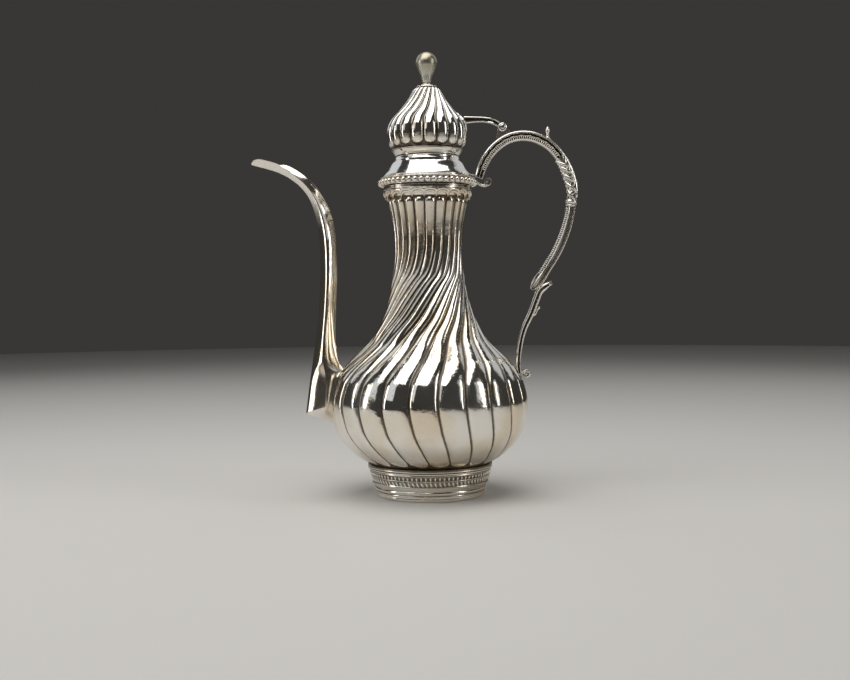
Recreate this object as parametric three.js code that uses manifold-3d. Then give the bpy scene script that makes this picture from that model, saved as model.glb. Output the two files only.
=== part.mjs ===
// A covered silver coffee pot of ewer form: spirally gadrooned body on a reeded foot, swan-neck
// spout, cast scroll handle, and an onion-domed cover hinged to the top of the handle.
// Millimetres, +Z up. The spout points to -X and the handle to +X.
// The origin lies on the table, in the middle of the pot's overall length and breadth.
import * as THREE from "three";
import { mergeVertices } from "three/addons/utils/BufferGeometryUtils.js";
import Module from "manifold-3d";

const wasm = await Module();
wasm.setup();

// ---------------------------------------------------------------- driving dimensions
const GAP = 0.3; // between pieces that are soldered together or rest on each other
const RUNNING = 0.3; // between pieces that turn past each other
const PRESSED = 0.08; // round a pin that is driven in
const WALL = 1.0; // sheet of the raised shells
const ROUND = 32; // segments of a plain ring

const FOOT_H = 24.4; // floor to the underside of the belly
const FOOT_TOP_R = 46.8;
const FOOT_BASE_R = 40.9;
const FOOT_WALL = 2.4;
const FOOT_BASE_H = 4.6; // the drum's own bottom edge, below the mouldings
const REEDED_BAND_H = 9.4;
const FOOT_MOULDING_H = 4.0;

const BODY_H = 197.4; // belly and fluted neck together
const BELLY_R = 74.0; // over the gadroons, at the widest
const BELLY_RISE = 44.6; // from the foot up to the widest
const WAIST_RISE = 156.6; // from the foot up to the narrowest point of the neck
const SEAM_RISE = 146.0; // where the neck is soldered to the belly
const NECK_R = 25.7; // over the flutes, at the narrowest
const MOUTH_R = 31.0; // over the flutes, at the top
const BODY_LOBES = 22;
const BODY_LOBE_PHASE = 4.3; // degrees that puts a groove beside the middle of the front
const BELLY_LOBE_DEPTH = 2.3;
const NECK_LOBE_DEPTH = 1.3;

const COLLAR_H = 5.4;
const COLLAR_R = 33.4;
const BAND_H = 3.2;
const BAND_R = 33.0;
const FLANGE_H = 6.0;
const FLANGE_R = 35.6;
const FLANGE_LIP = 1.2; // thickness of the flange where it covers the beads
const BORE_STEP = 0.4; // how far the flange's bore stands in from the neck's
const BEADS = 48;
const BEAD_R = 2.2;

const COVER_SET_IN = 2.2; // foot of the cover, in from the flange's edge
const COVER_RIM = 1.3;
const SKIRT_H = 15.7;
const COVER_WAIST_R = 23.5;
const BEZEL_DEPTH = 3.0;
const BEZEL_SLOPE = 0.62; // sideways per unit of depth, so that it swings out of the mouth
const DOME_H = 50.6;
const DOME_R = 30.3; // over the lobes
const DOME_TOP_R = 9.4;
const DOME_LOBES = 18;
const DOME_LOBE_DEPTH = 1.7;
const DOME_LOBE_PHASE = -5.5; // degrees from the lug's side
const CAP_H = 1.4;
const CAP_R = 7.9;
const KNOB_COLLAR_H = 2.3;
const KNOB_COLLAR_R = 3.0;
const KNOB_H = 22.3;
const KNOB_R = 7.9;
const KNOB_NECK_R = 3.3;
const STUD_R = 1.5;
const STUD_IN_KNOB = 7;
const NUT_R = 4.2; // over the corners
const NUT_H = 3.0;

const SPOUT_REACH = 131.2; // pot's axis to the tip of the lip
const SPOUT_WALL = 1.2;

const HANDLE_REACH = 107.4; // pot's axis to the middle of the grip
const GRIP_T = 7.4; // thickness of the grip, seen from the side
const GRIP_W = 8.0; // its width, seen from behind
const WRAP_PROUD = 1.3; // how far the leaf wrap stands out of the grip
const WRAP_FROM = 0.43; // shares of the grip's length
const WRAP_TO = 0.6;
const RING_FROM = 0.612;
const RING_TO = 0.632;
const HANDLE_FOOT_Z = 91.5; // height of the lower joint on the belly
const STRAP_T = 5.6; // lower strap, at its top
const STRAP_END_T = 3.4;
const STRAP_W = 6.6;
const SCROLL_R = 3.7;
const SCROLL_EYE_R = 1.3;
const SCROLL_W = 7.2;
const ROOT_LEAF_H = 1.7;
const ROOT_LEAF_SPREAD = 34; // degrees that it laps round the flange each way
const SPUR_H = 9.5;
const SPUR_R = 1.7;
const THORN_L = 8.0;

const HINGE_OUT = 17.7; // handle's root to the hinge, along X
const HINGE_RISE = 7.0; // top of the grip to the middle of the hinge pin
const PIN_R = 1.1;
const PIN_HEAD_R = 1.8;
const PIN_HEAD_H = 0.5;
const KNUCKLE_R = 3.4;
const LUG_W = 2.6;
const CHEEK_W = 2.0;
const ARM_T = 4.0;
const LEAF_W = 13;
const LEAF_T = 2.6;

// Heights and places that follow from the sizes above.
const NECK_TOP_Z = FOOT_H + BODY_H;
const BELLY_Z = FOOT_H + BELLY_RISE;
const WAIST_Z = FOOT_H + WAIST_RISE;
const SEAM_Z = FOOT_H + SEAM_RISE;
const COLLAR_TOP_Z = NECK_TOP_Z + COLLAR_H;
const BAND_TOP_Z = COLLAR_TOP_Z + BAND_H;
const RIM_Z = BAND_TOP_Z + FLANGE_H; // top of the mouth
const COVER_Z = RIM_Z + GAP;
const COVER_WAIST_Z = COVER_Z + SKIRT_H;
const DOME_TOP_Z = COVER_WAIST_Z + DOME_H;
const CAP_Z = DOME_TOP_Z + GAP;
const KNOB_COLLAR_Z = CAP_Z + CAP_H + GAP;
const KNOB_Z = KNOB_COLLAR_Z + KNOB_COLLAR_H + GAP;
const LINING_R = MOUTH_R - NECK_LOBE_DEPTH; // plain top of the neck, inside collar and band
const MOUTH_BORE_R = LINING_R - WALL - BORE_STEP;
const COVER_R = FLANGE_R - COVER_SET_IN;
const BEAD_RING_R = FLANGE_R - 0.5;
const BEAD_RING_Z = RIM_Z - FLANGE_LIP - GAP - BEAD_R;
// The pot's own axis stands where the overall length comes out centred on the origin.
const AXIS_X = (SPOUT_REACH - (HANDLE_REACH + GRIP_T / 2 + GAP + WRAP_PROUD)) / 2;

const SILVER = { color: 0xd9d4c6, roughness: 0.16, metalness: 1 };
const BRIGHT_SILVER = { color: 0xe6e2d8, roughness: 0.1, metalness: 1 };
const OLD_SILVER = { color: 0xa79f8d, roughness: 0.32, metalness: 1 };
const KNOB_SILVER = { color: 0xa9a182, roughness: 0.28, metalness: 1 };

// ---------------------------------------------------------------- shape helpers
const lerp = THREE.MathUtils.lerp;
const clamp = THREE.MathUtils.clamp;
const point = (x, z, y = 0) => new THREE.Vector3(x, y, z);

// A smooth function through [input, output] knots that never overshoots them.
function through(knots) {
  const n = knots.length;
  const slope = [];
  for (let i = 0; i < n - 1; i++) {
    slope.push((knots[i + 1][1] - knots[i][1]) / (knots[i + 1][0] - knots[i][0]));
  }
  const tangent = knots.map((_, i) => {
    if (i === 0) return slope[0];
    if (i === n - 1) return slope[n - 2];
    if (slope[i - 1] * slope[i] <= 0) return 0;
    return (2 * slope[i - 1] * slope[i]) / (slope[i - 1] + slope[i]);
  });
  return (value) => {
    const v = clamp(value, knots[0][0], knots[n - 1][0]);
    let i = 0;
    while (i < n - 2 && v > knots[i + 1][0]) i++;
    const h = knots[i + 1][0] - knots[i][0];
    const t = (v - knots[i][0]) / h;
    const a = knots[i][1] * (1 + 2 * t) * (1 - t) ** 2 + tangent[i] * h * t * (1 - t) ** 2;
    const b = knots[i + 1][1] * t * t * (3 - 2 * t) + tangent[i + 1] * h * t * t * (t - 1);
    return a + b;
  };
}

// A closed three.js geometry as a manifold-3d solid.
function toSolid(geometry) {
  const plain = geometry.clone();
  for (const name of ["normal", "uv"]) plain.deleteAttribute(name);
  const merged = mergeVertices(plain, 1e-4);
  const solid = new wasm.Manifold(
    new wasm.Mesh({
      numProp: 3,
      vertProperties: merged.attributes.position.array,
      triVerts: new Uint32Array(merged.index.array),
    }),
  );
  if (solid.volume() > 0) return solid;
  const turned = merged.index.array;
  for (let i = 0; i < turned.length; i += 3) [turned[i], turned[i + 1]] = [turned[i + 1], turned[i]];
  return new wasm.Manifold(
    new wasm.Mesh({
      numProp: 3,
      vertProperties: merged.attributes.position.array,
      triVerts: new Uint32Array(turned),
    }),
  );
}

// A manifold-3d solid as a three.js geometry.
function toGeometry(solid) {
  const mesh = solid.getMesh();
  const geometry = new THREE.BufferGeometry();
  geometry.setAttribute("position", new THREE.BufferAttribute(new Float32Array(mesh.vertProperties), 3));
  geometry.setIndex(new THREE.BufferAttribute(new Uint32Array(mesh.triVerts), 1));
  return geometry;
}

// A solid of revolution about +Z from [radius, height] pairs that start and end on the axis,
// or that close on themselves.
function turned(pairs, segments = ROUND) {
  const outline = pairs.map(([r, z]) => new THREE.Vector2(Math.max(r, 0), z));
  return toSolid(new THREE.LatheGeometry(outline, segments).rotateX(Math.PI / 2));
}

// A turned solid whose side is pushed in along lobes that twist as they rise.
function gadrooned({ low, high, steps, lobes, samples, radius, depth, twist, inset = 0 }) {
  const outline = [new THREE.Vector2(0, low)];
  for (let i = 0; i <= steps; i++) {
    const z = lerp(low, high, i / steps);
    outline.push(new THREE.Vector2(radius(z) - inset, z));
  }
  outline.push(new THREE.Vector2(0, high));
  const geometry = new THREE.LatheGeometry(outline, lobes * samples).rotateX(Math.PI / 2);
  const place = geometry.attributes.position;
  for (let i = 0; i < place.count; i++) {
    const r = Math.hypot(place.getX(i), place.getY(i));
    if (r < 1e-6) continue;
    const z = place.getZ(i);
    const angle = Math.atan2(place.getY(i), place.getX(i));
    const pushed = r - depth(z) * (1 - Math.abs(Math.cos((angle * lobes) / 2)));
    const turnedTo = angle + THREE.MathUtils.degToRad(twist(z));
    place.setXY(i, pushed * Math.cos(turnedTo), pushed * Math.sin(turnedTo));
  }
  return toSolid(geometry);
}

// A solid through a list of closed sections, each a list of the same number of points.
function loft(sections) {
  const around = sections[0].length;
  const places = sections.flat().flatMap((p) => [p.x, p.y, p.z]);
  const faces = [];
  for (let i = 0; i < sections.length - 1; i++) {
    for (let j = 0; j < around; j++) {
      const a = i * around + j;
      const b = i * around + ((j + 1) % around);
      faces.push(a, b, b + around, a, b + around, a + around);
    }
  }
  for (const [start, flip] of [[0, true], [(sections.length - 1) * around, false]]) {
    for (let j = 1; j < around - 1; j++) {
      faces.push(start, ...(flip ? [start + j + 1, start + j] : [start + j, start + j + 1]));
    }
  }
  const geometry = new THREE.BufferGeometry();
  geometry.setAttribute("position", new THREE.Float32BufferAttribute(places, 3));
  geometry.setIndex(faces);
  return toSolid(geometry);
}

// A smooth curve through points in the XZ plane.
function smooth(points) {
  return new THREE.CatmullRomCurve3(points, false, "centripetal");
}

// A bar along a stretch of a curve in the XZ plane. thick and wide are functions of 0 to 1 along
// the stretch. Grown, it is the same bar made bigger on every side, its ends too.
function bar({ curve, from = 0, to = 1, steps, thick, wide, around = 8, grown = 0 }) {
  const soften = (v) => Math.sign(v) * Math.sqrt(Math.abs(v));
  const sections = [];
  for (let i = 0; i <= steps; i++) {
    const t = i / steps;
    const at = curve.getPointAt(lerp(from, to, t));
    const along = curve.getTangentAt(lerp(from, to, t));
    const across = point(-along.z, along.x);
    if (i === 0) at.addScaledVector(along, -grown);
    if (i === steps) at.addScaledVector(along, grown);
    const section = [];
    for (let j = 0; j < around; j++) {
      const angle = (2 * Math.PI * (j + 0.5)) / around;
      const offset = across.clone().multiplyScalar(soften(Math.cos(angle)) * (thick(t) / 2 + grown));
      section.push(at.clone().add(offset).add(point(0, 0, soften(Math.sin(angle)) * (wide(t) / 2 + grown))));
    }
    sections.push(section);
  }
  return loft(sections);
}

// A plain cylinder about +Z between two heights.
function disc(radius, low, high, segments = ROUND) {
  return turned([[0, low], [radius, low], [radius, high], [0, high]], segments);
}

// A cylinder along Y with its middle at (x, z).
function crossCylinder(radius, length, x, z, segments = 24) {
  return toSolid(new THREE.CylinderGeometry(radius, radius, length, segments).translate(x, 0, z));
}

// ---------------------------------------------------------------- outlines
// Each list of pairs holds a share of the way up a stretch, and either the share of the way from
// the stretch's small radius to its large one, or degrees that the lobes have turned.
const UNDER_BELLY = [[0, -0.02], [0.185, 0.4], [0.45, 0.783], [0.66, 0.935], [1, 1]];
const SHOULDER = [[0.147, 0.928], [0.214, 0.843], [0.281, 0.71], [0.348, 0.539], [0.41, 0.395],
  [0.516, 0.244], [0.65, 0.12], [0.8, 0.04], [1, 0]];
const THROAT = [[0.25, 0.04], [0.5, 0.23], [0.72, 0.51], [1, 1]];
const UNDER_BELLY_TURN = [[0, 13.5], [0.294, 7.5], [0.68, 2.3]];
const SHOULDER_TURN = [[0.045, 0], [0.16, 1], [0.281, 5.7], [0.446, 16.7], [0.57, 32.3], [0.704, 50],
  [0.784, 63], [0.86, 77], [0.9375, 84]];
const THROAT_TURN = [[0.05, 88], [0.25, 89], [1, 89]];
const BULB = [[0, 0], [0.05, 0.34], [0.14, 0.68], [0.23, 0.91], [0.32, 1]];
const ONION = [[0.41, 0.98], [0.5, 0.895], [0.585, 0.742], [0.67, 0.545], [0.76, 0.364], [0.85, 0.206],
  [0.94, 0.086], [1, 0]];
const DOME_TURN = [[0, 0], [0.5, 0], [0.67, 8], [0.85, 19], [1, 31]];
const DOME_RELIEF = [[0, 0.02], [0.07, 0.02], [0.15, 1], [0.6, 1], [1, 0.4]];
const SKIRT = [[0.1, 0.86], [0.35, 0.56], [0.65, 0.3], [0.86, 0.05], [1, 0]];

// Those pairs over real heights, and over real radii where two are given.
const over = (pairs, low, high, small = 0, large = 1) =>
  pairs.map(([rise, value]) => [lerp(low, high, rise), lerp(small, large, value)]);

// The belly's and neck's radius over the lobes, bottom to top.
const bodyRadius = through([
  ...over(UNDER_BELLY, FOOT_H, BELLY_Z, FOOT_TOP_R, BELLY_R),
  ...over(SHOULDER, BELLY_Z, WAIST_Z, NECK_R, BELLY_R),
  ...over(THROAT, WAIST_Z, NECK_TOP_Z, NECK_R, MOUTH_R),
]);

// Degrees that the lobes have turned at each height, counted from the widest point.
const bodyTwist = through([
  ...over(UNDER_BELLY_TURN, FOOT_H, BELLY_Z),
  ...over(SHOULDER_TURN, BELLY_Z, WAIST_Z),
  ...over(THROAT_TURN, WAIST_Z, NECK_TOP_Z),
]);

const bodyDepth = through([
  [FOOT_H, BELLY_LOBE_DEPTH * 0.5],
  [BELLY_Z, BELLY_LOBE_DEPTH],
  [lerp(BELLY_Z, WAIST_Z, 0.5), BELLY_LOBE_DEPTH * 0.9],
  [WAIST_Z, NECK_LOBE_DEPTH],
  [NECK_TOP_Z, NECK_LOBE_DEPTH],
]);

const DOME_Z = COVER_WAIST_Z + GAP;
const domeAt = (rise) => lerp(DOME_Z, DOME_TOP_Z, rise);
const domeRadius = through([
  ...over(BULB, DOME_Z, DOME_TOP_Z, COVER_WAIST_R, DOME_R),
  ...over(ONION, DOME_Z, DOME_TOP_Z, DOME_TOP_R, DOME_R),
]);
const domeTwist = through(over(DOME_TURN, DOME_Z, DOME_TOP_Z));
const domeDepth = through(over(DOME_RELIEF, DOME_Z, DOME_TOP_Z, 0, DOME_LOBE_DEPTH));

// The cover's skirt, a concave cone above its plain rim.
const skirtRadius = through([
  [COVER_Z, COVER_R],
  [COVER_Z + COVER_RIM, COVER_R],
  ...over(SKIRT, COVER_Z + COVER_RIM, COVER_WAIST_Z, COVER_WAIST_R, COVER_R),
]);

// ---------------------------------------------------------------- spout
// The spout is drawn for a pot of these sizes and follows the real ones.
const SPOUT_DRAWN = { reach: 131.2, bellyR: 74, heelZ: 61.6, bellyZ: 69, neckTopZ: 221.8, lipZ: 247.7 };
// Each station holds the outer edge, the inner edge, the half width, how far the side ridges lie
// from the outer edge, and how far the top is cut open for the lip.
const spoutStations = [
  { outer: [-93, 60.8], inner: [-58, 49.5], half: 0.4, ridge: 0.43, open: 0 },
  { outer: [-92.9, 61.6], inner: [-58, 72], half: 9.5, ridge: 0.43, open: 0 },
  { outer: [-89.6, 86], inner: [-58, 88], half: 8.8, ridge: 0.4, open: 0 },
  { outer: [-87.5, 99.5], inner: [-67, 98.5], half: 8.2, ridge: 0.43, open: 0 },
  { outer: [-85.1, 116], inner: [-70, 115], half: 7.4, ridge: 0.43, open: 0 },
  { outer: [-82.2, 141], inner: [-69.3, 141], half: 6.6, ridge: 0.43, open: 0 },
  { outer: [-80.7, 168], inner: [-68.2, 168], half: 6.2, ridge: 0.43, open: 0 },
  { outer: [-81.3, 192], inner: [-68.8, 194], half: 6.0, ridge: 0.43, open: 0 },
  { outer: [-84, 209], inner: [-72.6, 211.5], half: 5.5, ridge: 0.43, open: 0 },
  { outer: [-88.4, 222], inner: [-79.6, 225.4], half: 4.9, ridge: 0.43, open: 0 },
  { outer: [-94.6, 230.6], inner: [-88.6, 236.8], half: 4.4, ridge: 0.43, open: 0 },
  { outer: [-102.8, 237.2], inner: [-98.6, 244.3], half: 4.3, ridge: 0.45, open: 0 },
  { outer: [-109.6, 240.9], inner: [-106.6, 248.4], half: 4.4, ridge: 0.6, open: 0 },
  { outer: [-114.4, 242.8], inner: [-112.4, 249.2], half: 4.5, ridge: 0.86, open: 0.8 },
  { outer: [-119.6, 244.4], inner: [-118, 250.4], half: 4.5, ridge: 0.92, open: 1 },
  { outer: [-125.6, 246], inner: [-125.2, 251.9], half: 4.0, ridge: 0.92, open: 1 },
  { outer: [-129.4, 247.1], inner: [-129.2, 250.9], half: 2.6, ridge: 0.9, open: 1 },
  { outer: [-131.2, 247.7], inner: [-131.1, 248.8], half: 0.9, ridge: 0.8, open: 1 },
];

// The heel follows the belly, the lip follows the reach, and the height follows the body.
function spoutPlace([x, z]) {
  const drawn = SPOUT_DRAWN;
  const share = clamp((z - drawn.heelZ) / (drawn.lipZ - drawn.heelZ), 0, 1);
  const stretch = (NECK_TOP_Z - BELLY_Z) / (drawn.neckTopZ - drawn.bellyZ);
  return point(
    x - lerp(BELLY_R - drawn.bellyR, SPOUT_REACH - drawn.reach, share),
    BELLY_Z + (z - drawn.bellyZ) * stretch,
  );
}

function spoutSections(bore) {
  const steps = 26;
  const around = 12;
  const curves = ["outer", "inner"].map(
    (edge) => new THREE.CatmullRomCurve3(spoutStations.map((s) => spoutPlace(s[edge])), false, "centripetal"),
  );
  const channel = (name) => through(spoutStations.map((s, i) => [i, s[name]]));
  const half = channel("half");
  const ridge = channel("ridge");
  const open = channel("open");
  const last = spoutStations.length - 1;
  const sections = [];
  for (let i = 0; i <= steps; i++) {
    const t = i / steps;
    const k = t * last;
    const outer = curves[0].getPoint(t);
    const inner = curves[1].getPoint(t);
    const up = inner.clone().sub(outer).normalize();
    const side = outer.clone().lerp(inner, ridge(k));
    let width = half(k);
    if (bore) {
      outer.addScaledVector(up, SPOUT_WALL * 1.5);
      inner.addScaledVector(up, lerp(-SPOUT_WALL * 1.5, 4, open(k)));
      side.addScaledVector(up, lerp(0, 2.5, open(k)));
      width = Math.max(width - SPOUT_WALL * 1.15, 0.15);
    }
    const section = [];
    for (let j = 0; j < around; j++) {
      const angle = (2 * Math.PI * j) / around;
      const c = Math.cos(angle);
      const s = Math.sin(angle);
      const edge = c > 0 ? outer : inner;
      const reach = Math.abs(c) ** 1.5;
      const place = side.clone().lerp(edge, reach);
      place.y = Math.sign(s) * Math.abs(s) ** 1.5 * width;
      section.push(place);
    }
    sections.push(section);
  }
  return sections;
}

// ---------------------------------------------------------------- handle paths
const ROOT_X = FLANGE_R + 2.7;
const ROOT_Z = RIM_Z + 0.6;
const DRAWN_SWING = 69.1; // root to the middle of the grip, in the points below
const SWING = (HANDLE_REACH - ROOT_X) / DRAWN_SWING;
const STRAP_END_X = bodyRadius(HANDLE_FOOT_Z) + STRAP_END_T / 2 - BELLY_LOBE_DEPTH * 0.6; // let into a groove

// A point by its distance out from the straight line between root and lower joint, and the share
// of the way up that line.
function besideLine([out, rise]) {
  return point(lerp(STRAP_END_X, ROOT_X, rise) + out * SWING, lerp(HANDLE_FOOT_Z, ROOT_Z, rise));
}
const ARCH = [[0, -0.4], [3.4, 9.2], [9.1, 18.3], [16.3, 24.9], [23.7, 28.8], [31.7, 30.3], [39.7, 29.6],
  [46.4, 27.1], [52.7, 23.2], [59, 16.5], [64.3, 8.4]]; // out from the root, and up from it
const BACK = [[67.7, 1], [67.9, 0.93], [65.6, 0.883], [61.4, 0.794], [54.4, 0.698], [46.3, 0.612],
  [36.8, 0.531], [26.3, 0.45], [21.9, 0.424]];
const LOWER = [[36.4, 0.452], [28.3, 0.416], [24.1, 0.372], [18.1, 0.301], [9.8, 0.214], [4.3, 0.127],
  [0.6, 0.034], [0, -0.01]];
const gripCurve = smooth([
  ...ARCH.map(([out, up]) => point(ROOT_X + out * SWING, ROOT_Z + up)),
  ...BACK.map(besideLine),
]);
const strapCurve = smooth(LOWER.map(besideLine));
const gripThickness = through([[0, 0.8], [0.06, 1], [0.8, 1], [0.92, 0.84], [1, 1.1]]);
const strapThickness = through([[0, 0.7], [0.12, 1], [0.5, 0.85], [1, STRAP_END_T / STRAP_T]]);

// Where the grip, rising over its arch, first reaches a value of X.
function gripAt(x) {
  const steps = 400;
  for (let i = 0; i < steps; i++) {
    const p = gripCurve.getPointAt(i / steps);
    if (p.x >= x) return { share: i / steps, at: p, along: gripCurve.getTangentAt(i / steps) };
  }
  throw new Error("the grip never reaches x = " + x);
}
// The middle of the grip's outer face above a value of X.
function gripTop(x) {
  const { at, along } = gripAt(x);
  return point(at.x - (along.z * GRIP_T) / 2, at.z + (along.x * GRIP_T) / 2);
}
const HINGE_X = ROOT_X + HINGE_OUT;
const HINGE_Z = gripAt(HINGE_X).at.z + GRIP_T / 2 + HINGE_RISE;

// ---------------------------------------------------------------- the pieces
const BELLY_STEPS = 10;
const NECK_STEPS = 5;
const DOME_STEPS = 9;
const pot = new THREE.Group(); // every piece is made about the pot's own axis
pot.position.x = AXIS_X;
const root = new THREE.Group();
root.add(pot);

function addPiece(name, solid, look) {
  const mesh = new THREE.Mesh(toGeometry(solid), new THREE.MeshStandardMaterial(look));
  mesh.name = name;
  pot.add(mesh);
}

function bodySolid(low, high, steps, inset, samples = 4) {
  return gadrooned({
    low, high, steps, samples, inset, lobes: BODY_LOBES,
    radius: bodyRadius, depth: bodyDepth, twist: (z) => bodyTwist(z) + BODY_LOBE_PHASE,
  });
}

function domeSolid(low, high, inset) {
  return gadrooned({
    low, high, inset, steps: DOME_STEPS, samples: 2, lobes: DOME_LOBES,
    radius: domeRadius, depth: domeDepth, twist: (z) => domeTwist(z) + DOME_LOBE_PHASE,
  });
}

function addBody() {
  const bore = loft(spoutSections(true));
  const belly = bodySolid(FOOT_H, SEAM_Z, BELLY_STEPS, 0);
  const hollow = bodySolid(FOOT_H + WALL, SEAM_Z + 1, BELLY_STEPS, WALL, 2);
  addPiece("belly_shell", belly.subtract(hollow).subtract(bore), SILVER);

  const low = SEAM_Z + GAP;
  const neck = bodySolid(low, NECK_TOP_Z, NECK_STEPS, 0, 2).add(disc(LINING_R, NECK_TOP_Z - 0.5, BAND_TOP_Z));
  const inside = bodySolid(low - 1, NECK_TOP_Z, NECK_STEPS, WALL, 2);
  const throat = disc(LINING_R - WALL, NECK_TOP_Z - 1, BAND_TOP_Z + 1);
  addPiece("neck_tube", neck.subtract(inside).subtract(throat), SILVER);

  const around = bodySolid(FOOT_H, SEAM_Z, BELLY_STEPS, -GAP);
  addPiece("spout", loft(spoutSections(false)).subtract(bore).subtract(around), SILVER);
}

function addFoot() {
  const top = FOOT_H - GAP;
  const bandZ = FOOT_H - FOOT_MOULDING_H - REEDED_BAND_H;
  const mouldingZ = FOOT_H - FOOT_MOULDING_H;
  const side = (z) => lerp(FOOT_BASE_R, FOOT_TOP_R, z / FOOT_H); // over the mouldings
  const drum = (z) => side(z) - 1.3;
  addPiece(
    "foot_drum",
    turned([
      [FOOT_BASE_R - FOOT_WALL, 0], [FOOT_BASE_R - 0.6, 0], [FOOT_BASE_R, 0.8],
      [FOOT_BASE_R, FOOT_BASE_H - 1], [drum(FOOT_BASE_H), FOOT_BASE_H - 0.4],
      [drum(top), top], [drum(top) - FOOT_WALL, top],
      [FOOT_BASE_R - FOOT_WALL - 0.6, FOOT_BASE_H], [FOOT_BASE_R - FOOT_WALL, 0],
    ]),
    SILVER,
  );
  const sleeve = (name, outline) => {
    const low = outline[0][1];
    const high = outline[outline.length - 1][1];
    const seat = (z) => drum(z) + GAP;
    addPiece(name, turned([[seat(low), low], ...outline, [seat(high), high], [seat(low), low]]), SILVER);
  };
  sleeve("foot_base_moulding", [
    [side(FOOT_BASE_H) - 0.2, FOOT_BASE_H], [side(FOOT_BASE_H) - 0.6, lerp(FOOT_BASE_H, bandZ, 0.5)],
    [side(bandZ) + 0.2, bandZ - GAP],
  ]);
  sleeve("foot_reeded_band", [
    [side(bandZ) - 0.1, bandZ], [side(bandZ) + 0.9, lerp(bandZ, mouldingZ, 0.25)],
    [side(mouldingZ) + 0.3, lerp(bandZ, mouldingZ, 0.7)], [side(mouldingZ) - 0.2, mouldingZ - GAP],
  ]);
  sleeve("foot_top_moulding", [
    [FOOT_TOP_R - 0.9, mouldingZ], [FOOT_TOP_R - 0.2, mouldingZ + 0.8], [FOOT_TOP_R - 0.7, mouldingZ + 1.6],
    [FOOT_TOP_R, mouldingZ + 2.6], [FOOT_TOP_R - 0.5, top],
  ]);
}

function addMouth() {
  const bore = LINING_R + GAP;
  addPiece(
    "neck_collar",
    turned([
      [bore, NECK_TOP_Z + GAP], [MOUTH_R + 0.3, NECK_TOP_Z + GAP],
      [COLLAR_R - 0.6, NECK_TOP_Z + COLLAR_H * 0.3], [COLLAR_R, NECK_TOP_Z + COLLAR_H * 0.7],
      [COLLAR_R - 0.2, COLLAR_TOP_Z - GAP], [bore, COLLAR_TOP_Z - GAP], [bore, NECK_TOP_Z + GAP],
    ]),
    SILVER,
  );
  addPiece(
    "mouth_band",
    turned([
      [bore, COLLAR_TOP_Z], [BAND_R, COLLAR_TOP_Z], [BAND_R, BAND_TOP_Z - GAP], [bore, BAND_TOP_Z - GAP],
      [bore, COLLAR_TOP_Z],
    ]),
    OLD_SILVER,
  );
  const inner = BEAD_RING_R - BEAD_R - GAP;
  const low = BAND_TOP_Z + GAP;
  addPiece(
    "mouth_flange",
    turned([
      [MOUTH_BORE_R, low], [inner, low], [inner, RIM_Z - FLANGE_LIP], [FLANGE_R, RIM_Z - FLANGE_LIP],
      [FLANGE_R, RIM_Z], [MOUTH_BORE_R, RIM_Z], [MOUTH_BORE_R, low],
    ]),
    SILVER,
  );
  addPiece("bead_ring", beadRing(), SILVER);
}

// A ring of beads joined side to side.
function beadRing() {
  const ring = new THREE.TorusGeometry(BEAD_RING_R, BEAD_R, 6, BEADS * 2);
  const place = ring.attributes.position;
  for (let i = 0; i < place.count; i++) {
    const angle = Math.atan2(place.getY(i), place.getX(i));
    const pinch = 0.62 + 0.38 * Math.abs(Math.cos((angle * BEADS) / 2));
    const r = BEAD_RING_R + (Math.hypot(place.getX(i), place.getY(i)) - BEAD_RING_R) * pinch;
    place.setXYZ(i, r * Math.cos(angle), r * Math.sin(angle), BEAD_RING_Z + place.getZ(i) * pinch);
  }
  return toSolid(ring);
}

// The grip, or the space round it when its section is grown.
function gripSolid(grown = 0) {
  return bar({
    curve: gripCurve,
    steps: 34,
    thick: (t) => GRIP_T * gripThickness(t),
    wide: () => GRIP_W,
    grown,
  });
}

function strapSolid(grown = 0) {
  return bar({
    curve: strapCurve,
    steps: 20,
    thick: (t) => STRAP_T * strapThickness(t),
    wide: () => STRAP_W,
    grown,
  });
}

// A sleeve round the grip between two shares of its length.
function gripSleeve(from, to, proud, steps) {
  const swell = (t) => proud * (0.55 + 0.45 * Math.sin(Math.PI * t));
  const wrap = bar({
    curve: gripCurve, from, to, steps,
    thick: (t) => GRIP_T + 2 * GAP + 2 * swell(t),
    wide: (t) => GRIP_W + 2 * GAP + 2 * swell(t),
  });
  return wrap.subtract(gripSolid(GAP));
}

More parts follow.
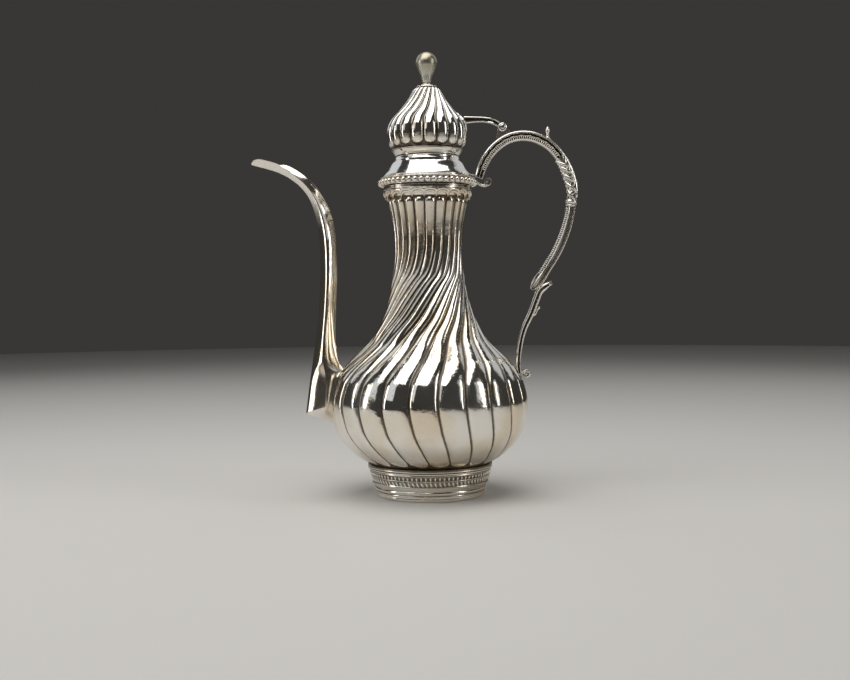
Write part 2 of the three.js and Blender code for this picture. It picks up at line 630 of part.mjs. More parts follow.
function addHandle() {
  const leafTop = RIM_Z + GAP + ROOT_LEAF_H;
  const around = gripSolid(GAP);
  const rootSeat = disc(BEAD_RING_R + BEAD_R + GAP, NECK_TOP_Z, leafTop + GAP);
  addPiece("handle_grip", gripSolid().subtract(rootSeat), OLD_SILVER);
  addPiece("root_leaf", rootLeaf(leafTop), OLD_SILVER);
  addPiece("root_scroll", rootScroll(around, rootSeat), OLD_SILVER);
  addPiece("grip_leaf_wrap", gripSleeve(WRAP_FROM, WRAP_TO, WRAP_PROUD, 8), OLD_SILVER);
  addPiece("grip_ring", gripSleeve(RING_FROM, RING_TO, WRAP_PROUD * 0.7, 2), OLD_SILVER);
  addPiece("grip_spur", gripSpur(around), OLD_SILVER);

  const belly = bodySolid(FOOT_H, SEAM_Z, BELLY_STEPS, -GAP);
  addPiece("handle_strap", strapSolid().subtract(around).subtract(belly), OLD_SILVER);
  const aroundStrap = strapSolid(GAP);
  const scrollX = STRAP_END_X + STRAP_END_T / 2 + SCROLL_R - 0.4;
  const scrollZ = HANDLE_FOOT_Z - 2;
  const scroll = crossCylinder(SCROLL_R, SCROLL_W, scrollX, scrollZ);
  const eye = crossCylinder(SCROLL_EYE_R, SCROLL_W + 2, scrollX, scrollZ, 12);
  addPiece("strap_scroll", scroll.subtract(eye).subtract(aroundStrap), OLD_SILVER);

  const thornRoot = strapCurve.getPointAt(0.36);
  const thorn = new THREE.ConeGeometry(1.9, THORN_L, 10).translate(0, THORN_L / 2, 0);
  thorn.rotateX(Math.PI / 2).rotateY(0.85).translate(thornRoot.x + 1, 0, thornRoot.z);
  addPiece("strap_thorn", toSolid(thorn).subtract(aroundStrap), OLD_SILVER);
}

// A crescent that lies on the flange outside the cover, under the handle's root.
function rootLeaf(top) {
  const spread = THREE.MathUtils.degToRad(ROOT_LEAF_SPREAD);
  const inside = COVER_R + 2 * RUNNING;
  const outside = BEAD_RING_R + BEAD_R;
  const crescent = new THREE.Shape();
  const steps = 14;
  const at = (r, angle) => [r * Math.cos(angle), r * Math.sin(angle)];
  crescent.moveTo(...at(inside, -spread));
  for (let i = 1; i < steps; i++) {
    const angle = lerp(-spread, spread, i / steps);
    crescent.lineTo(...at(lerp(inside + 0.6, outside, Math.sin((Math.PI * i) / steps) ** 0.4), angle));
  }
  for (let i = steps; i > 0; i--) crescent.lineTo(...at(inside, lerp(-spread, spread, i / steps)));
  const plate = new THREE.ExtrudeGeometry(crescent, { depth: top - RIM_Z - GAP, bevelEnabled: false });
  return toSolid(plate.translate(0, 0, RIM_Z + GAP));
}

// The curl under the handle's root, outside the beads.
function rootScroll(aroundGrip, rootSeat) {
  const x = ROOT_X + 6.2;
  const z = ROOT_Z - 3.4;
  const linkT = 3.2;
  const link = new THREE.BoxGeometry(x - FLANGE_R, SCROLL_W - 1.4, linkT);
  link.translate((x + FLANGE_R) / 2, 0, z - SCROLL_R + linkT / 2);
  const curl = crossCylinder(SCROLL_R, SCROLL_W, x, z).add(toSolid(link));
  return curl
    .subtract(crossCylinder(SCROLL_EYE_R, SCROLL_W + 2, x, z, 12))
    .subtract(rootSeat)
    .subtract(aroundGrip);
}

function gripSpur(aroundGrip) {
  const foot = gripTop(ROOT_X + 49.2 * SWING);
  const spur = new THREE.ConeGeometry(SPUR_R, SPUR_H, 10).translate(0, SPUR_H / 2 - 1, 0);
  spur.rotateX(Math.PI / 2).translate(foot.x, 0, foot.z);
  return toSolid(spur).subtract(aroundGrip);
}

function addHinge() {
  const drop = HINGE_Z - gripAt(HINGE_X).at.z; // down to the middle of the grip
  const plate = new THREE.Shape();
  plate.moveTo(-KNUCKLE_R + 0.2, 0);
  plate.lineTo(-KNUCKLE_R - 1, -drop);
  plate.lineTo(KNUCKLE_R + 5, -drop + 1.5);
  plate.lineTo(KNUCKLE_R + 2.2, -2.6);
  plate.lineTo(KNUCKLE_R + 0.2, -1.2);
  plate.lineTo(KNUCKLE_R - 0.2, 0);
  const sheet = new THREE.ExtrudeGeometry(plate, { depth: LUG_W, bevelEnabled: false });
  sheet.translate(0, 0, -LUG_W / 2).rotateX(Math.PI / 2).translate(HINGE_X, 0, HINGE_Z);
  const lug = toSolid(sheet)
    .add(crossCylinder(KNUCKLE_R - 0.1, LUG_W, HINGE_X, HINGE_Z))
    .subtract(crossCylinder(PIN_R + PRESSED, LUG_W + 2, HINGE_X, HINGE_Z))
    .subtract(gripSolid(GAP));
  addPiece("hinge_lug", lug, OLD_SILVER);

  const half = LUG_W / 2 + RUNNING + CHEEK_W + RUNNING;
  const end = half + PIN_HEAD_H;
  const outline = [[0, -end], [PIN_HEAD_R, -end], [PIN_HEAD_R, -half], [PIN_R, -half]];
  const mirrored = outline.map(([r, y]) => [r, -y]).reverse();
  const shaft = [...outline, ...mirrored].map(([r, y]) => new THREE.Vector2(r, y));
  const pin = new THREE.LatheGeometry(shaft, 16).translate(HINGE_X, 0, HINGE_Z);
  addPiece("hinge_pin", toSolid(pin), OLD_SILVER);
}

function addCover() {
  const skirtTop = COVER_WAIST_Z - GAP;
  const steps = 5;
  const skirt = [];
  for (let i = 0; i <= steps; i++) {
    const z = lerp(COVER_Z + COVER_RIM, skirtTop, i / steps);
    skirt.push([skirtRadius(z), z]);
  }
  const lining = skirt.map(([r, z]) => [r - WALL, z]).reverse();
  addPiece(
    "cover_skirt",
    turned([[COVER_R, COVER_Z], ...skirt, ...lining, [COVER_R - WALL, COVER_Z], [COVER_R, COVER_Z]]),
    BRIGHT_SILVER,
  );

  const bezelR = MOUTH_BORE_R - RUNNING;
  const bezelLow = COVER_Z - BEZEL_DEPTH;
  const tip = bezelR - BEZEL_DEPTH * BEZEL_SLOPE;
  const flangeR = skirtRadius(COVER_Z + COVER_RIM + WALL) - WALL - GAP;
  addPiece(
    "cover_bezel",
    turned([
      [tip, bezelLow], [bezelR, COVER_Z], [flangeR, COVER_Z], [flangeR, COVER_Z + WALL],
      [bezelR - WALL, COVER_Z + WALL], [tip - WALL, bezelLow], [tip, bezelLow],
    ]),
    SILVER,
  );

  const low = COVER_WAIST_Z;
  const bore = disc(STUD_R + PRESSED, low, KNOB_Z + STUD_IN_KNOB);
  const dome = domeSolid(low, DOME_TOP_Z, 0).subtract(domeSolid(low - 1, DOME_TOP_Z - WALL, WALL));
  addPiece("cover_dome", dome.subtract(bore), SILVER);

  const capEdge = [[CAP_R - 0.5, CAP_Z], [CAP_R, CAP_Z + CAP_H / 2], [CAP_R - 0.5, CAP_Z + CAP_H]];
  addPiece("cover_cap", turned([[0, CAP_Z], ...capEdge, [0, CAP_Z + CAP_H]], 24).subtract(bore), SILVER);
  const washerTop = KNOB_COLLAR_Z + KNOB_COLLAR_H;
  addPiece("knob_collar", disc(KNOB_COLLAR_R, KNOB_COLLAR_Z, washerTop, 20).subtract(bore), KNOB_SILVER);
  addPiece("knob", knobSolid().subtract(bore), KNOB_SILVER);

  const nutTop = DOME_TOP_Z - WALL - GAP;
  const stud = disc(STUD_R, nutTop - NUT_H - 1.5, KNOB_Z + STUD_IN_KNOB - GAP, 16);
  addPiece("knob_stud", stud, OLD_SILVER);
  addPiece("knob_nut", disc(NUT_R, nutTop - NUT_H, nutTop, 6).subtract(bore), OLD_SILVER);
  addPiece("cover_arm", coverArm(), OLD_SILVER);
}

// A slim cone that swells into a ball.
function knobSolid() {
  const ballZ = KNOB_Z + KNOB_H - KNOB_R;
  const outline = [[0, KNOB_Z], [KNOB_NECK_R, KNOB_Z], [KNOB_NECK_R + 0.6, KNOB_Z + KNOB_H * 0.22],
    [KNOB_NECK_R + 1.9, ballZ - KNOB_R * 0.72]];
  const steps = 6;
  for (let i = 0; i <= steps; i++) {
    const angle = lerp(-0.82, Math.PI / 2, i / steps);
    outline.push([KNOB_R * Math.cos(angle), ballZ + KNOB_R * Math.sin(angle)]);
  }
  return turned(outline, 18);
}

// The hinge arm: a leaf on the dome, a slim S-shaped bar, and a fork that straddles the lug.
function coverArm() {
  const across = HINGE_X - DOME_R;
  const armCurve = smooth([
    point(DOME_R - 3.5, HINGE_Z + 5.6), point(DOME_R + across * 0.22, HINGE_Z + 5.8),
    point(DOME_R + across * 0.5, HINGE_Z + 5.6), point(DOME_R + across * 0.74, HINGE_Z + 4.4),
    point(DOME_R + across * 0.92, HINGE_Z + 2),
  ]);
  const forkW = LUG_W + 2 * (RUNNING + CHEEK_W);
  const taper = through([[0, 1.4], [0.25, 1], [1, 1]]);
  const swell = through([[0, 5.5], [0.3, 3.6], [0.7, 4], [1, forkW]]);
  const arm = bar({ curve: armCurve, steps: 12, thick: (t) => ARM_T * taper(t), wide: swell });

  const leafRise = [0.36, 0.44, 0.52, 0.58, 0.63];
  const onDome = (z) => point(domeRadius(z) + LEAF_T * 0.2, z);
  const leafCurve = smooth(leafRise.map((rise) => onDome(domeAt(rise))));
  const leafWidth = through([[0, 0.2], [0.3, 0.85], [0.55, 1], [0.85, 0.6], [1, 0.15]]);
  const leaf = bar({ curve: leafCurve, steps: 8, thick: () => LEAF_T, wide: (t) => LEAF_W * leafWidth(t) });

  const slot = crossCylinder(KNUCKLE_R + 0.8, LUG_W + 2 * RUNNING, HINGE_X, HINGE_Z);
  return arm
    .add(crossCylinder(KNUCKLE_R, forkW, HINGE_X, HINGE_Z))
    .add(leaf)
    .subtract(slot)
    .subtract(crossCylinder(PIN_R + RUNNING, forkW + 2, HINGE_X, HINGE_Z, 16))
    .subtract(domeSolid(COVER_WAIST_Z, DOME_TOP_Z, -GAP));
}

addBody();
addFoot();
addMouth();
addHandle();
addHinge();
addCover();

export default root;
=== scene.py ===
"""A covered silver coffee pot of ewer form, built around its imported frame.

Lengths are millimetres about the pot's own upright axis, until a piece is put into the frame.
The spout points to -X, the handle to +X, and the front of the pot is on the -Y side.
"""

import logging
import math
from collections.abc import Callable, Sequence
from dataclasses import dataclass, field, replace
from enum import Enum

import bmesh
import bpy
import numpy as np
from mathutils import Matrix, Vector


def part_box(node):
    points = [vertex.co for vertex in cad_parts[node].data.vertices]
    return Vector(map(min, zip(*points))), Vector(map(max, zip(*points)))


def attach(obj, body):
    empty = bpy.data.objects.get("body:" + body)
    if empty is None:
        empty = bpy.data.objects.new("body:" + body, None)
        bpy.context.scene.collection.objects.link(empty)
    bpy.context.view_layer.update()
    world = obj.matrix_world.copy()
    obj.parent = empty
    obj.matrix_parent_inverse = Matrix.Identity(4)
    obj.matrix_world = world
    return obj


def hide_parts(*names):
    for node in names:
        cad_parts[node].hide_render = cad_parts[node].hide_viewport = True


log = logging.getLogger("coffee_pot")

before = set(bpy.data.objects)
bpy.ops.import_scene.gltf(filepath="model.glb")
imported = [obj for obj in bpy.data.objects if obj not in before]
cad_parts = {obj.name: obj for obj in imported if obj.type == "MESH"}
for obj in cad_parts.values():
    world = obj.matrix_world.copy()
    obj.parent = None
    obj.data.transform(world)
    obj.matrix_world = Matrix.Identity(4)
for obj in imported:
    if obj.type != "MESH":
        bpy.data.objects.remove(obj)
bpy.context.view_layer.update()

MM = 0.001
Pairs = Sequence[tuple[float, float]]
Curve = Callable[[float | np.ndarray], np.ndarray]


class Body(Enum):
    """The two bodies that move against each other."""

    POT = "pot"
    COVER = "cover"


class Slot(Enum):
    """The record's material slots."""

    SILVER = "silver"
    BRIGHT = "bright_silver"
    DARK = "dark_silver"
    KNOB = "knob_silver"


# ------------------------------------------------------------------ places read from the frame
def axis_x() -> float:
    """Gives the X of the pot's own axis in the frame, in millimetres."""
    low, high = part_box("foot_drum")
    return (low.x + high.x) / 2 / MM


AXIS_X = axis_x()


@dataclass(frozen=True)
class Box:
    """A node's box, in millimetres about the pot's own axis."""

    low: np.ndarray
    high: np.ndarray

    @classmethod
    def of(cls, node: str) -> "Box":
        """Reads a node's box.

        Args:
            node: The node's name in the frame.

        Returns:
            Its box about the pot's axis.
        """
        shift = np.array([AXIS_X, 0.0, 0.0])
        low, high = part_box(node)
        return cls(np.array(low) / MM - shift, np.array(high) / MM - shift)

    @property
    def radius(self) -> float:
        """Half its breadth, which is a round piece's radius."""
        return float(self.high[1] - self.low[1]) / 2

    @property
    def bottom(self) -> float:
        """Its lowest height."""
        return float(self.low[2])

    @property
    def top(self) -> float:
        """Its greatest height."""
        return float(self.high[2])

    @property
    def middle(self) -> np.ndarray:
        """Its middle."""
        return (self.low + self.high) / 2


# ------------------------------------------------------------------ curves
def through(knots: Pairs) -> Curve:
    """Makes a smooth function through knots that never overshoots them.

    Args:
        knots: Pairs of input and output, in rising order of input.

    Returns:
        The function, for a number or an array.
    """
    xs, ys = np.array(knots, float).T
    step = np.diff(xs)
    slope = np.diff(ys) / step
    tangent = np.concatenate([slope[:1], np.zeros(len(xs) - 2), slope[-1:]])
    same = slope[:-1] * slope[1:] > 0
    total = np.where(same, slope[:-1] + slope[1:], 1.0)
    tangent[1:-1] = np.where(same, 2 * slope[:-1] * slope[1:] / total, 0.0)

    def value(at: float | np.ndarray) -> np.ndarray:
        """Gives the value at a place."""
        v = np.clip(at, xs[0], xs[-1])
        i = np.clip(np.searchsorted(xs, v, side="right") - 1, 0, len(step) - 1)
        h = step[i]
        t = (v - xs[i]) / h
        start = ys[i] * (1 + 2 * t) * (1 - t) ** 2 + tangent[i] * h * t * (1 - t) ** 2
        end = ys[i + 1] * t * t * (3 - 2 * t) + tangent[i + 1] * h * t * t * (t - 1)
        return start + end

    return value


def over(pairs: Pairs, low: float, high: float, small: float = 0.0,
        large: float = 1.0) -> list[tuple[float, float]]:
    """Puts pairs of shares onto real heights and real values.

    Args:
        pairs: Shares of the way up, each with a share of the way from small to large.
        low: The stretch's lowest height.
        high: Its greatest height.
        small: The value for a share of 0.
        large: The value for a share of 1.

    Returns:
        Pairs of height and value.
    """
    return [(low + (high - low) * rise, small + (large - small) * out) for rise, out in pairs]


def smoothstep(low: float, high: float, value: float | np.ndarray) -> np.ndarray:
    """Rises smoothly from 0 at low to 1 at high."""
    t = np.clip((np.asarray(value) - low) / (high - low), 0.0, 1.0)
    return t * t * (3 - 2 * t)


class Line:
    """A centripetal curve through points in the upright middle plane, walked by its length."""

    SAMPLES = 40

    def __init__(self, points: Pairs) -> None:
        """Lays the curve.

        Args:
            points: Its points, as pairs of X and Z.
        """
        self.points = np.array([(x, 0.0, z) for x, z in points], float)
        count = (len(points) - 1) * self.SAMPLES
        self.dense = np.array([self.at(i / self.SAMPLES) for i in range(count + 1)])
        steps = np.linalg.norm(np.diff(self.dense, axis=0), axis=1)
        self.walked = np.concatenate([[0.0], np.cumsum(steps)])

    @property
    def length(self) -> float:
        """The curve's whole length."""
        return float(self.walked[-1])

    def at(self, place: float) -> np.ndarray:
        """Gives a point by its place in the list, 0.5 being between the first two.

        Args:
            place: From 0 to the number of the last point.

        Returns:
            The point.
        """
        last = len(self.points) - 1
        i = min(int(place), last - 1)
        t = place - i
        p1, p2 = self.points[i], self.points[i + 1]
        p0 = self.points[i - 1] if i > 0 else 2 * p1 - p2
        p3 = self.points[i + 2] if i + 2 <= last else 2 * p2 - p1
        d0, d1, d2 = (math.sqrt(np.linalg.norm(b - a)) for a, b in ((p0, p1), (p1, p2), (p2, p3)))
        m1 = ((p1 - p0) / d0 - (p2 - p0) / (d0 + d1) + (p2 - p1) / d1) * d1
        m2 = ((p2 - p1) / d1 - (p3 - p1) / (d1 + d2) + (p3 - p2) / d2) * d1
        bend = (2 * t**3 - 3 * t**2 + 1) * p1 + (t**3 - 2 * t**2 + t) * m1
        return bend + (3 * t**2 - 2 * t**3) * p2 + (t**3 - t**2) * m2

    def walk(self, shares: np.ndarray) -> tuple[np.ndarray, np.ndarray, np.ndarray]:
        """Walks along the curve.

        Args:
            shares: Shares of its length, from 0 to 1.

        Returns:
            The points there, the directions along, and the directions out of the curve's left side.
        """
        def spot(share: np.ndarray) -> np.ndarray:
            """Gives the points at shares of the length."""
            want = np.clip(share, 0, 1) * self.length
            return np.stack([np.interp(want, self.walked, self.dense[:, k]) for k in range(3)], axis=1)

        reach = 0.003
        along = spot(shares + reach) - spot(shares - reach)
        along /= np.linalg.norm(along, axis=1, keepdims=True)
        across = np.stack([-along[:, 2], np.zeros(len(along)), along[:, 0]], axis=1)
        return spot(shares), along, across


# ------------------------------------------------------------------ meshes
def skin(rows: Sequence[np.ndarray], ring: bool = False) -> tuple[np.ndarray, list[tuple[int, ...]]]:
    """Joins rows of points into a skin. A row of one point is a pole.

    Args:
        rows: The rows, each one point or the same number of points round.
        ring: Whether the last row joins the first.

    Returns:
        The points and the faces.
    """
    starts = np.concatenate([[0], np.cumsum([len(row) for row in rows])])
    order = list(zip(range(len(rows) - 1), range(1, len(rows))))
    if ring:
        order.append((len(rows) - 1, 0))
    faces: list[tuple[int, ...]] = []
    for i, j in order:
        a, b = int(starts[i]), int(starts[j])
        around = max(len(rows[i]), len(rows[j]))
        for k in range(around):
            n = (k + 1) % around
            if len(rows[i]) == 1:
                faces.append((a, b + n, b + k))
            elif len(rows[j]) == 1:
                faces.append((a + k, a + n, b))
            else:
                faces.append((a + k, a + n, b + n, b + k))
    return np.concatenate(rows), faces


def solid(name: str, points: np.ndarray, faces: Sequence[tuple[int, ...]],
        crisp: float = 38.0) -> bpy.types.Object:
    """Makes a mesh object from points about the pot's axis.

    Args:
        name: The object's name.
        points: Its points, in millimetres about the pot's axis.
        faces: Its faces.
        crisp: Edges bent more than this many degrees stay sharp.

    Returns:
        The object, at the frame's origin, with its faces pointing out.
    """
    mesh = bpy.data.meshes.new(name)
    placed = (np.asarray(points, float) + [AXIS_X, 0.0, 0.0]) * MM
    mesh.from_pydata(placed.tolist(), [], [tuple(map(int, f)) for f in faces])
    outward(mesh)
    mesh.shade_smooth()
    mesh.set_sharp_from_angle(angle=math.radians(crisp))
    made = bpy.data.objects.new(name, mesh)
    bpy.context.scene.collection.objects.link(made)
    return made


def outward(mesh: bpy.types.Mesh) -> None:
    """Merges a mesh's doubles and turns its faces outwards."""
    work = bmesh.new()
    work.from_mesh(mesh)
    bmesh.ops.remove_doubles(work, verts=work.verts, dist=1e-7)
    bmesh.ops.recalc_face_normals(work, faces=work.faces)
    work.to_mesh(mesh)
    work.free()
    mesh.update()


def circle(radius: float, height: float, around: int) -> np.ndarray:
    """Gives a level ring of points, or one point where the radius is nothing."""
    if radius < 1e-6:
        return np.array([[0.0, 0.0, height]])
    angle = np.arange(around) * 2 * math.pi / around
    return np.stack([radius * np.cos(angle), radius * np.sin(angle), np.full(around, height)], axis=1)


def turned(name: str, outline: Pairs, around: int = 160, crisp: float = 38.0) -> bpy.types.Object:
    """Turns an outline about the pot's axis.

    Args:
        name: The object's name.
        outline: Pairs of radius and height, from axis to axis, or a loop whose end meets its start.
        around: Points round the axis.
        crisp: Edges bent more than this many degrees stay sharp.

    Returns:
        The turned object.
    """
    loop = outline[0][0] > 0
    pairs = outline[:-1] if loop and outline[0] == outline[-1] else outline
    points, faces = skin([circle(r, z, around) for r, z in pairs], ring=loop)
    return solid(name, points, faces, crisp)


def arc(centre: tuple[float, float], radius: float, start: float, end: float,
        steps: int = 8) -> list[tuple[float, float]]:
    """Gives points on an arc.

    Args:
        centre: Its centre.
        radius: Its radius.
        start: The first angle, in degrees.
        end: The last angle, in degrees.
        steps: The number of steps between them.

    Returns:
        The points, as pairs.
    """
    angles = np.radians(np.linspace(start, end, steps + 1))
    return [(centre[0] + radius * math.cos(a), centre[1] + radius * math.sin(a)) for a in angles]


def loft(name: str, sections: np.ndarray, crisp: float = 38.0) -> bpy.types.Object:
    """Makes a closed bar through sections.

    Args:
        name: The object's name.
        sections: The sections, each the same number of points round.
        crisp: Edges bent more than this many degrees stay sharp.

    Returns:
        The bar, with both ends closed.
    """
    rows = [sections[0].mean(axis=0, keepdims=True), *sections, sections[-1].mean(axis=0, keepdims=True)]
    points, faces = skin(rows)
    return solid(name, points, faces, crisp)


def bent(line: Line, shares: np.ndarray, outlines: np.ndarray) -> np.ndarray:
    """Sets flat outlines across a line.

    Args:
        line: The line.
        shares: Shares of its length.
        outlines: For each share, points as pairs of how far out of the curve and how far to the side.

    Returns:
        The sections, in the pot's space.
    """
    at, _, across = line.walk(shares)
    side = np.array([0.0, 1.0, 0.0])
    return at[:, None] + across[:, None] * outlines[:, :, :1] + side * outlines[:, :, 1:]


def oval(thick: np.ndarray, wide: np.ndarray, around: int = 20, square: float = 0.8) -> np.ndarray:
    """Gives rounded outlines.

    Args:
        thick: Each outline's whole thickness.
        wide: Each outline's whole width.
        around: Points round each.
        square: 1 for an ellipse, less for a squarer one.

    Returns:
        The outlines, as pairs.
    """
    angle = (np.arange(around) + 0.5) * 2 * math.pi / around
    c, s = np.cos(angle), np.sin(angle)
    out = np.sign(c) * np.abs(c) ** square
    side = np.sign(s) * np.abs(s) ** square
    return np.stack([np.outer(thick, out), np.outer(wide, side)], axis=2) / 2


def carve(target: bpy.types.Object, cutter: bpy.types.Object, crisp: float = 38.0) -> None:
    """Cuts one solid out of another, and removes the cutter.

    Args:
        target: The solid that is cut.
        cutter: The solid that is taken away.
        crisp: Edges bent more than this many degrees stay sharp.
    """
    cut = target.modifiers.new("cut", "BOOLEAN")
    cut.operation, cut.solver, cut.object = "DIFFERENCE", "EXACT", cutter
    settle(target)
    target.data.shade_smooth()
    target.data.set_sharp_from_angle(angle=math.radians(crisp))
    bpy.data.objects.remove(cutter)


def settle(target: bpy.types.Object) -> None:
    """Turns an object with modifiers into a plain mesh."""
    graph = bpy.context.evaluated_depsgraph_get()
    graph.update()
    plain = bpy.data.meshes.new_from_object(
        target.evaluated_get(graph), preserve_all_data_layers=True, depsgraph=graph
    )
    target.modifiers.clear()
    plain.name = target.name
    target.data = plain


def soften(target: bpy.types.Object, width: float, segments: int = 3) -> None:
    """Rounds an object's sharp edges.

    Args:
        target: The object.
        width: The width of the rounding, in millimetres.
        segments: Steps across it.
    """
    round_off = target.modifiers.new("round", "BEVEL")
    round_off.width, round_off.segments, round_off.limit_method = width * MM, segments, "ANGLE"
    settle(target)
    target.data.shade_smooth()


def join(name: str, parts: Sequence[bpy.types.Object]) -> bpy.types.Object:
    """Joins objects into one piece.

    Args:
        name: The piece's name.
        parts: Its parts, which are used up.

    Returns:
        The piece.
    """
    work = bmesh.new()
    hollows = [stored(part, "hollow") for part in parts]
    for part in parts:
        work.from_mesh(part.data)
        bpy.data.objects.remove(part)
    mesh = bpy.data.meshes.new(name)
    work.to_mesh(mesh)
    work.free()
    made = bpy.data.objects.new(name, mesh)
    bpy.context.scene.collection.objects.link(made)
    store(made, "hollow", np.concatenate(hollows))
    return made


def mark_relief(target: bpy.types.Object, scale: float = 0.9) -> None:
    """Stores how hollow and how ridged each point is, which the finishes read.

    Args:
        target: The piece.
        scale: The radius of bend, in millimetres, that counts as full.
    """
    mesh = target.data
    count = len(mesh.vertices)
    place = np.empty(count * 3, np.float32)
    mesh.vertices.foreach_get("co", place)
    normal = np.empty(count * 3, np.float32)
    mesh.vertex_normals.foreach_get("vector", normal)
    ends = np.empty(len(mesh.edges) * 2, np.int32)
    mesh.edges.foreach_get("vertices", ends)
    place, normal, ends = place.reshape(-1, 3), normal.reshape(-1, 3), ends.reshape(-1, 2)
    a, b = np.concatenate([ends, ends[:, ::-1]]).T
    reach = place[b] - place[a]
    square = np.maximum((reach**2).sum(axis=1), 1e-12)
    touching = np.maximum(np.bincount(a, minlength=count), 1)
    bend = np.bincount(a, (normal[a] * reach).sum(axis=1) / square, count) / touching
    bend = (bend + np.bincount(a, bend[b], count) / touching) * scale * MM
    # The hollow value darkens the finish as oxide and painted shade in creases; the ridge value rubs it bright,
    # which on the spout is a painted highlight.
    for name, value in (("hollow", bend), ("ridge", -bend)):
        store(target, name, np.maximum(stored(target, name), np.clip(value, 0, 1)))


def store(target: bpy.types.Object, name: str, values: np.ndarray) -> None:
    """Stores one number for each point of an object."""
    made = target.data.attributes.get(name) or target.data.attributes.new(name, "FLOAT", "POINT")
    made.data.foreach_set("value", np.asarray(values, np.float32))


def stored(target: bpy.types.Object, name: str) -> np.ndarray:
    """Gives the number stored for each point, or nothing but zeros."""
    values = np.zeros(len(target.data.vertices), np.float32)
    found = target.data.attributes.get(name)
    if found is not None:
        found.data.foreach_get("value", values)
    return values


def places(target: bpy.types.Object) -> np.ndarray:
    """Gives an object's points, in millimetres about the pot's axis."""
    found = np.empty(len(target.data.vertices) * 3, np.float32)
    target.data.vertices.foreach_get("co", found)
    return found.reshape(-1, 3) / MM - [AXIS_X, 0.0, 0.0]


def fit(piece: bpy.types.Object, finish: bpy.types.Material, body: Body, slot: Slot, *nodes: str) -> None:
    """Dresses a finished piece and sets it on its body.

    Args:
        piece: The piece.
        finish: Its material.
        body: The body that it moves with.
        slot: The record's slot for its finish.
        *nodes: The frame's nodes that it stands for.
    """
    mark_relief(piece, 1.7 if slot is Slot.DARK else 0.9)
    piece.data.materials.clear()
    piece.data.materials.append(finish)
    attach(piece, body.value)
    if nodes:
        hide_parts(*nodes)
    log.info("%s: %d faces on %s, for %s", piece.name, len(piece.data.polygons), body.value,
        nodes or "no node")


# ------------------------------------------------------------------ geometry node trees
Socket = bpy.types.NodeSocket


class Tree:
    """A Geometry Nodes tree with named inputs, baked to plain meshes."""

    def __init__(self, name: str) -> None:
        """Starts an empty tree."""
        self.tree = bpy.data.node_groups.new(name, "GeometryNodeTree")
        self.tree.interface.new_socket(name="Geometry", in_out="OUTPUT", socket_type="NodeSocketGeometry")
        self.source = self.tree.nodes.new("NodeGroupInput")
        self.names: dict[str, str] = {}

    def input(self, name: str, kind: str = "Float") -> Socket:
        """Adds a named input.

        Args:
            name: Its name.
            kind: Float, Int, Vector, Material or Geometry.

        Returns:
            The socket that gives its value.
        """
        made = self.tree.interface.new_socket(name=name, in_out="INPUT", socket_type=f"NodeSocket{kind}")
        self.names[name] = made.identifier
        return self.source.outputs[name]

    def node(self, kind: str, values: dict | None = None, **settings: object) -> bpy.types.Node:
        """Adds a node.

        Args:
            kind: Its type.
            values: Sockets to link or set, by name or number.
            **settings: Its properties.

        Returns:
            The node.
        """
        made = self.tree.nodes.new(kind)
        for key, value in settings.items():
            setattr(made, key, value)
        plug(self.tree, made, values or {})
        return made

    def math(self, operation: str, a: Socket | float, b: Socket | float = 0.0,
            c: Socket | float = 0.0) -> Socket:
        """Adds a sum of up to three numbers."""
        values = {0: a, 1: b, 2: c} if operation in ("MULTIPLY_ADD", "COMPARE", "WRAP") else {0: a, 1: b}
        return self.node("ShaderNodeMath", values, operation=operation).outputs[0]

    def vector(self, x: Socket | float, y: Socket | float, z: Socket | float) -> Socket:
        """Combines three numbers."""
        return self.node("ShaderNodeCombineXYZ", {0: x, 1: y, 2: z}).outputs[0]

    def attribute(self, name: str) -> Socket:
        """Reads a number stored on the points."""
        return self.node("GeometryNodeInputNamedAttribute", {"Name": name}, data_type="FLOAT").outputs[0]

    def finish(self, geometry: Socket) -> None:
        """Ends the tree with real geometry that wears its material."""
        real = self.node("GeometryNodeRealizeInstances", {0: geometry})
        dressed = self.node("GeometryNodeSetMaterial",
            {"Geometry": real.outputs[0], "Material": self.input("Material", "Material")})
        self.node("NodeGroupOutput", {0: dressed.outputs[0]})

    def bake(self, piece: bpy.types.Object, **values: object) -> bpy.types.Object:
        """Runs the tree on an object and keeps the result as its plain mesh.

        Args:
            piece: The object whose mesh the tree reads and replaces.
            **values: The tree's inputs, with _ for each space in a name.

        Returns:
            The same object.
        """
        run = piece.modifiers.new("tree", "NODES")
        run.node_group = self.tree
        for name, value in values.items():
            run[self.names[name.replace("_", " ")]] = value
        settle(piece)
        return piece


def plug(tree: bpy.types.NodeTree, node: bpy.types.Node, values: dict) -> None:
    """Links or sets a node's input sockets.

    Args:
        tree: The node's tree.
        node: The node.
        values: By socket name or number, a socket to link or a value to set.
    """
    for key, value in values.items():
        if isinstance(value, Socket):
            tree.links.new(value, node.inputs[key])
        else:
            node.inputs[key].default_value = value


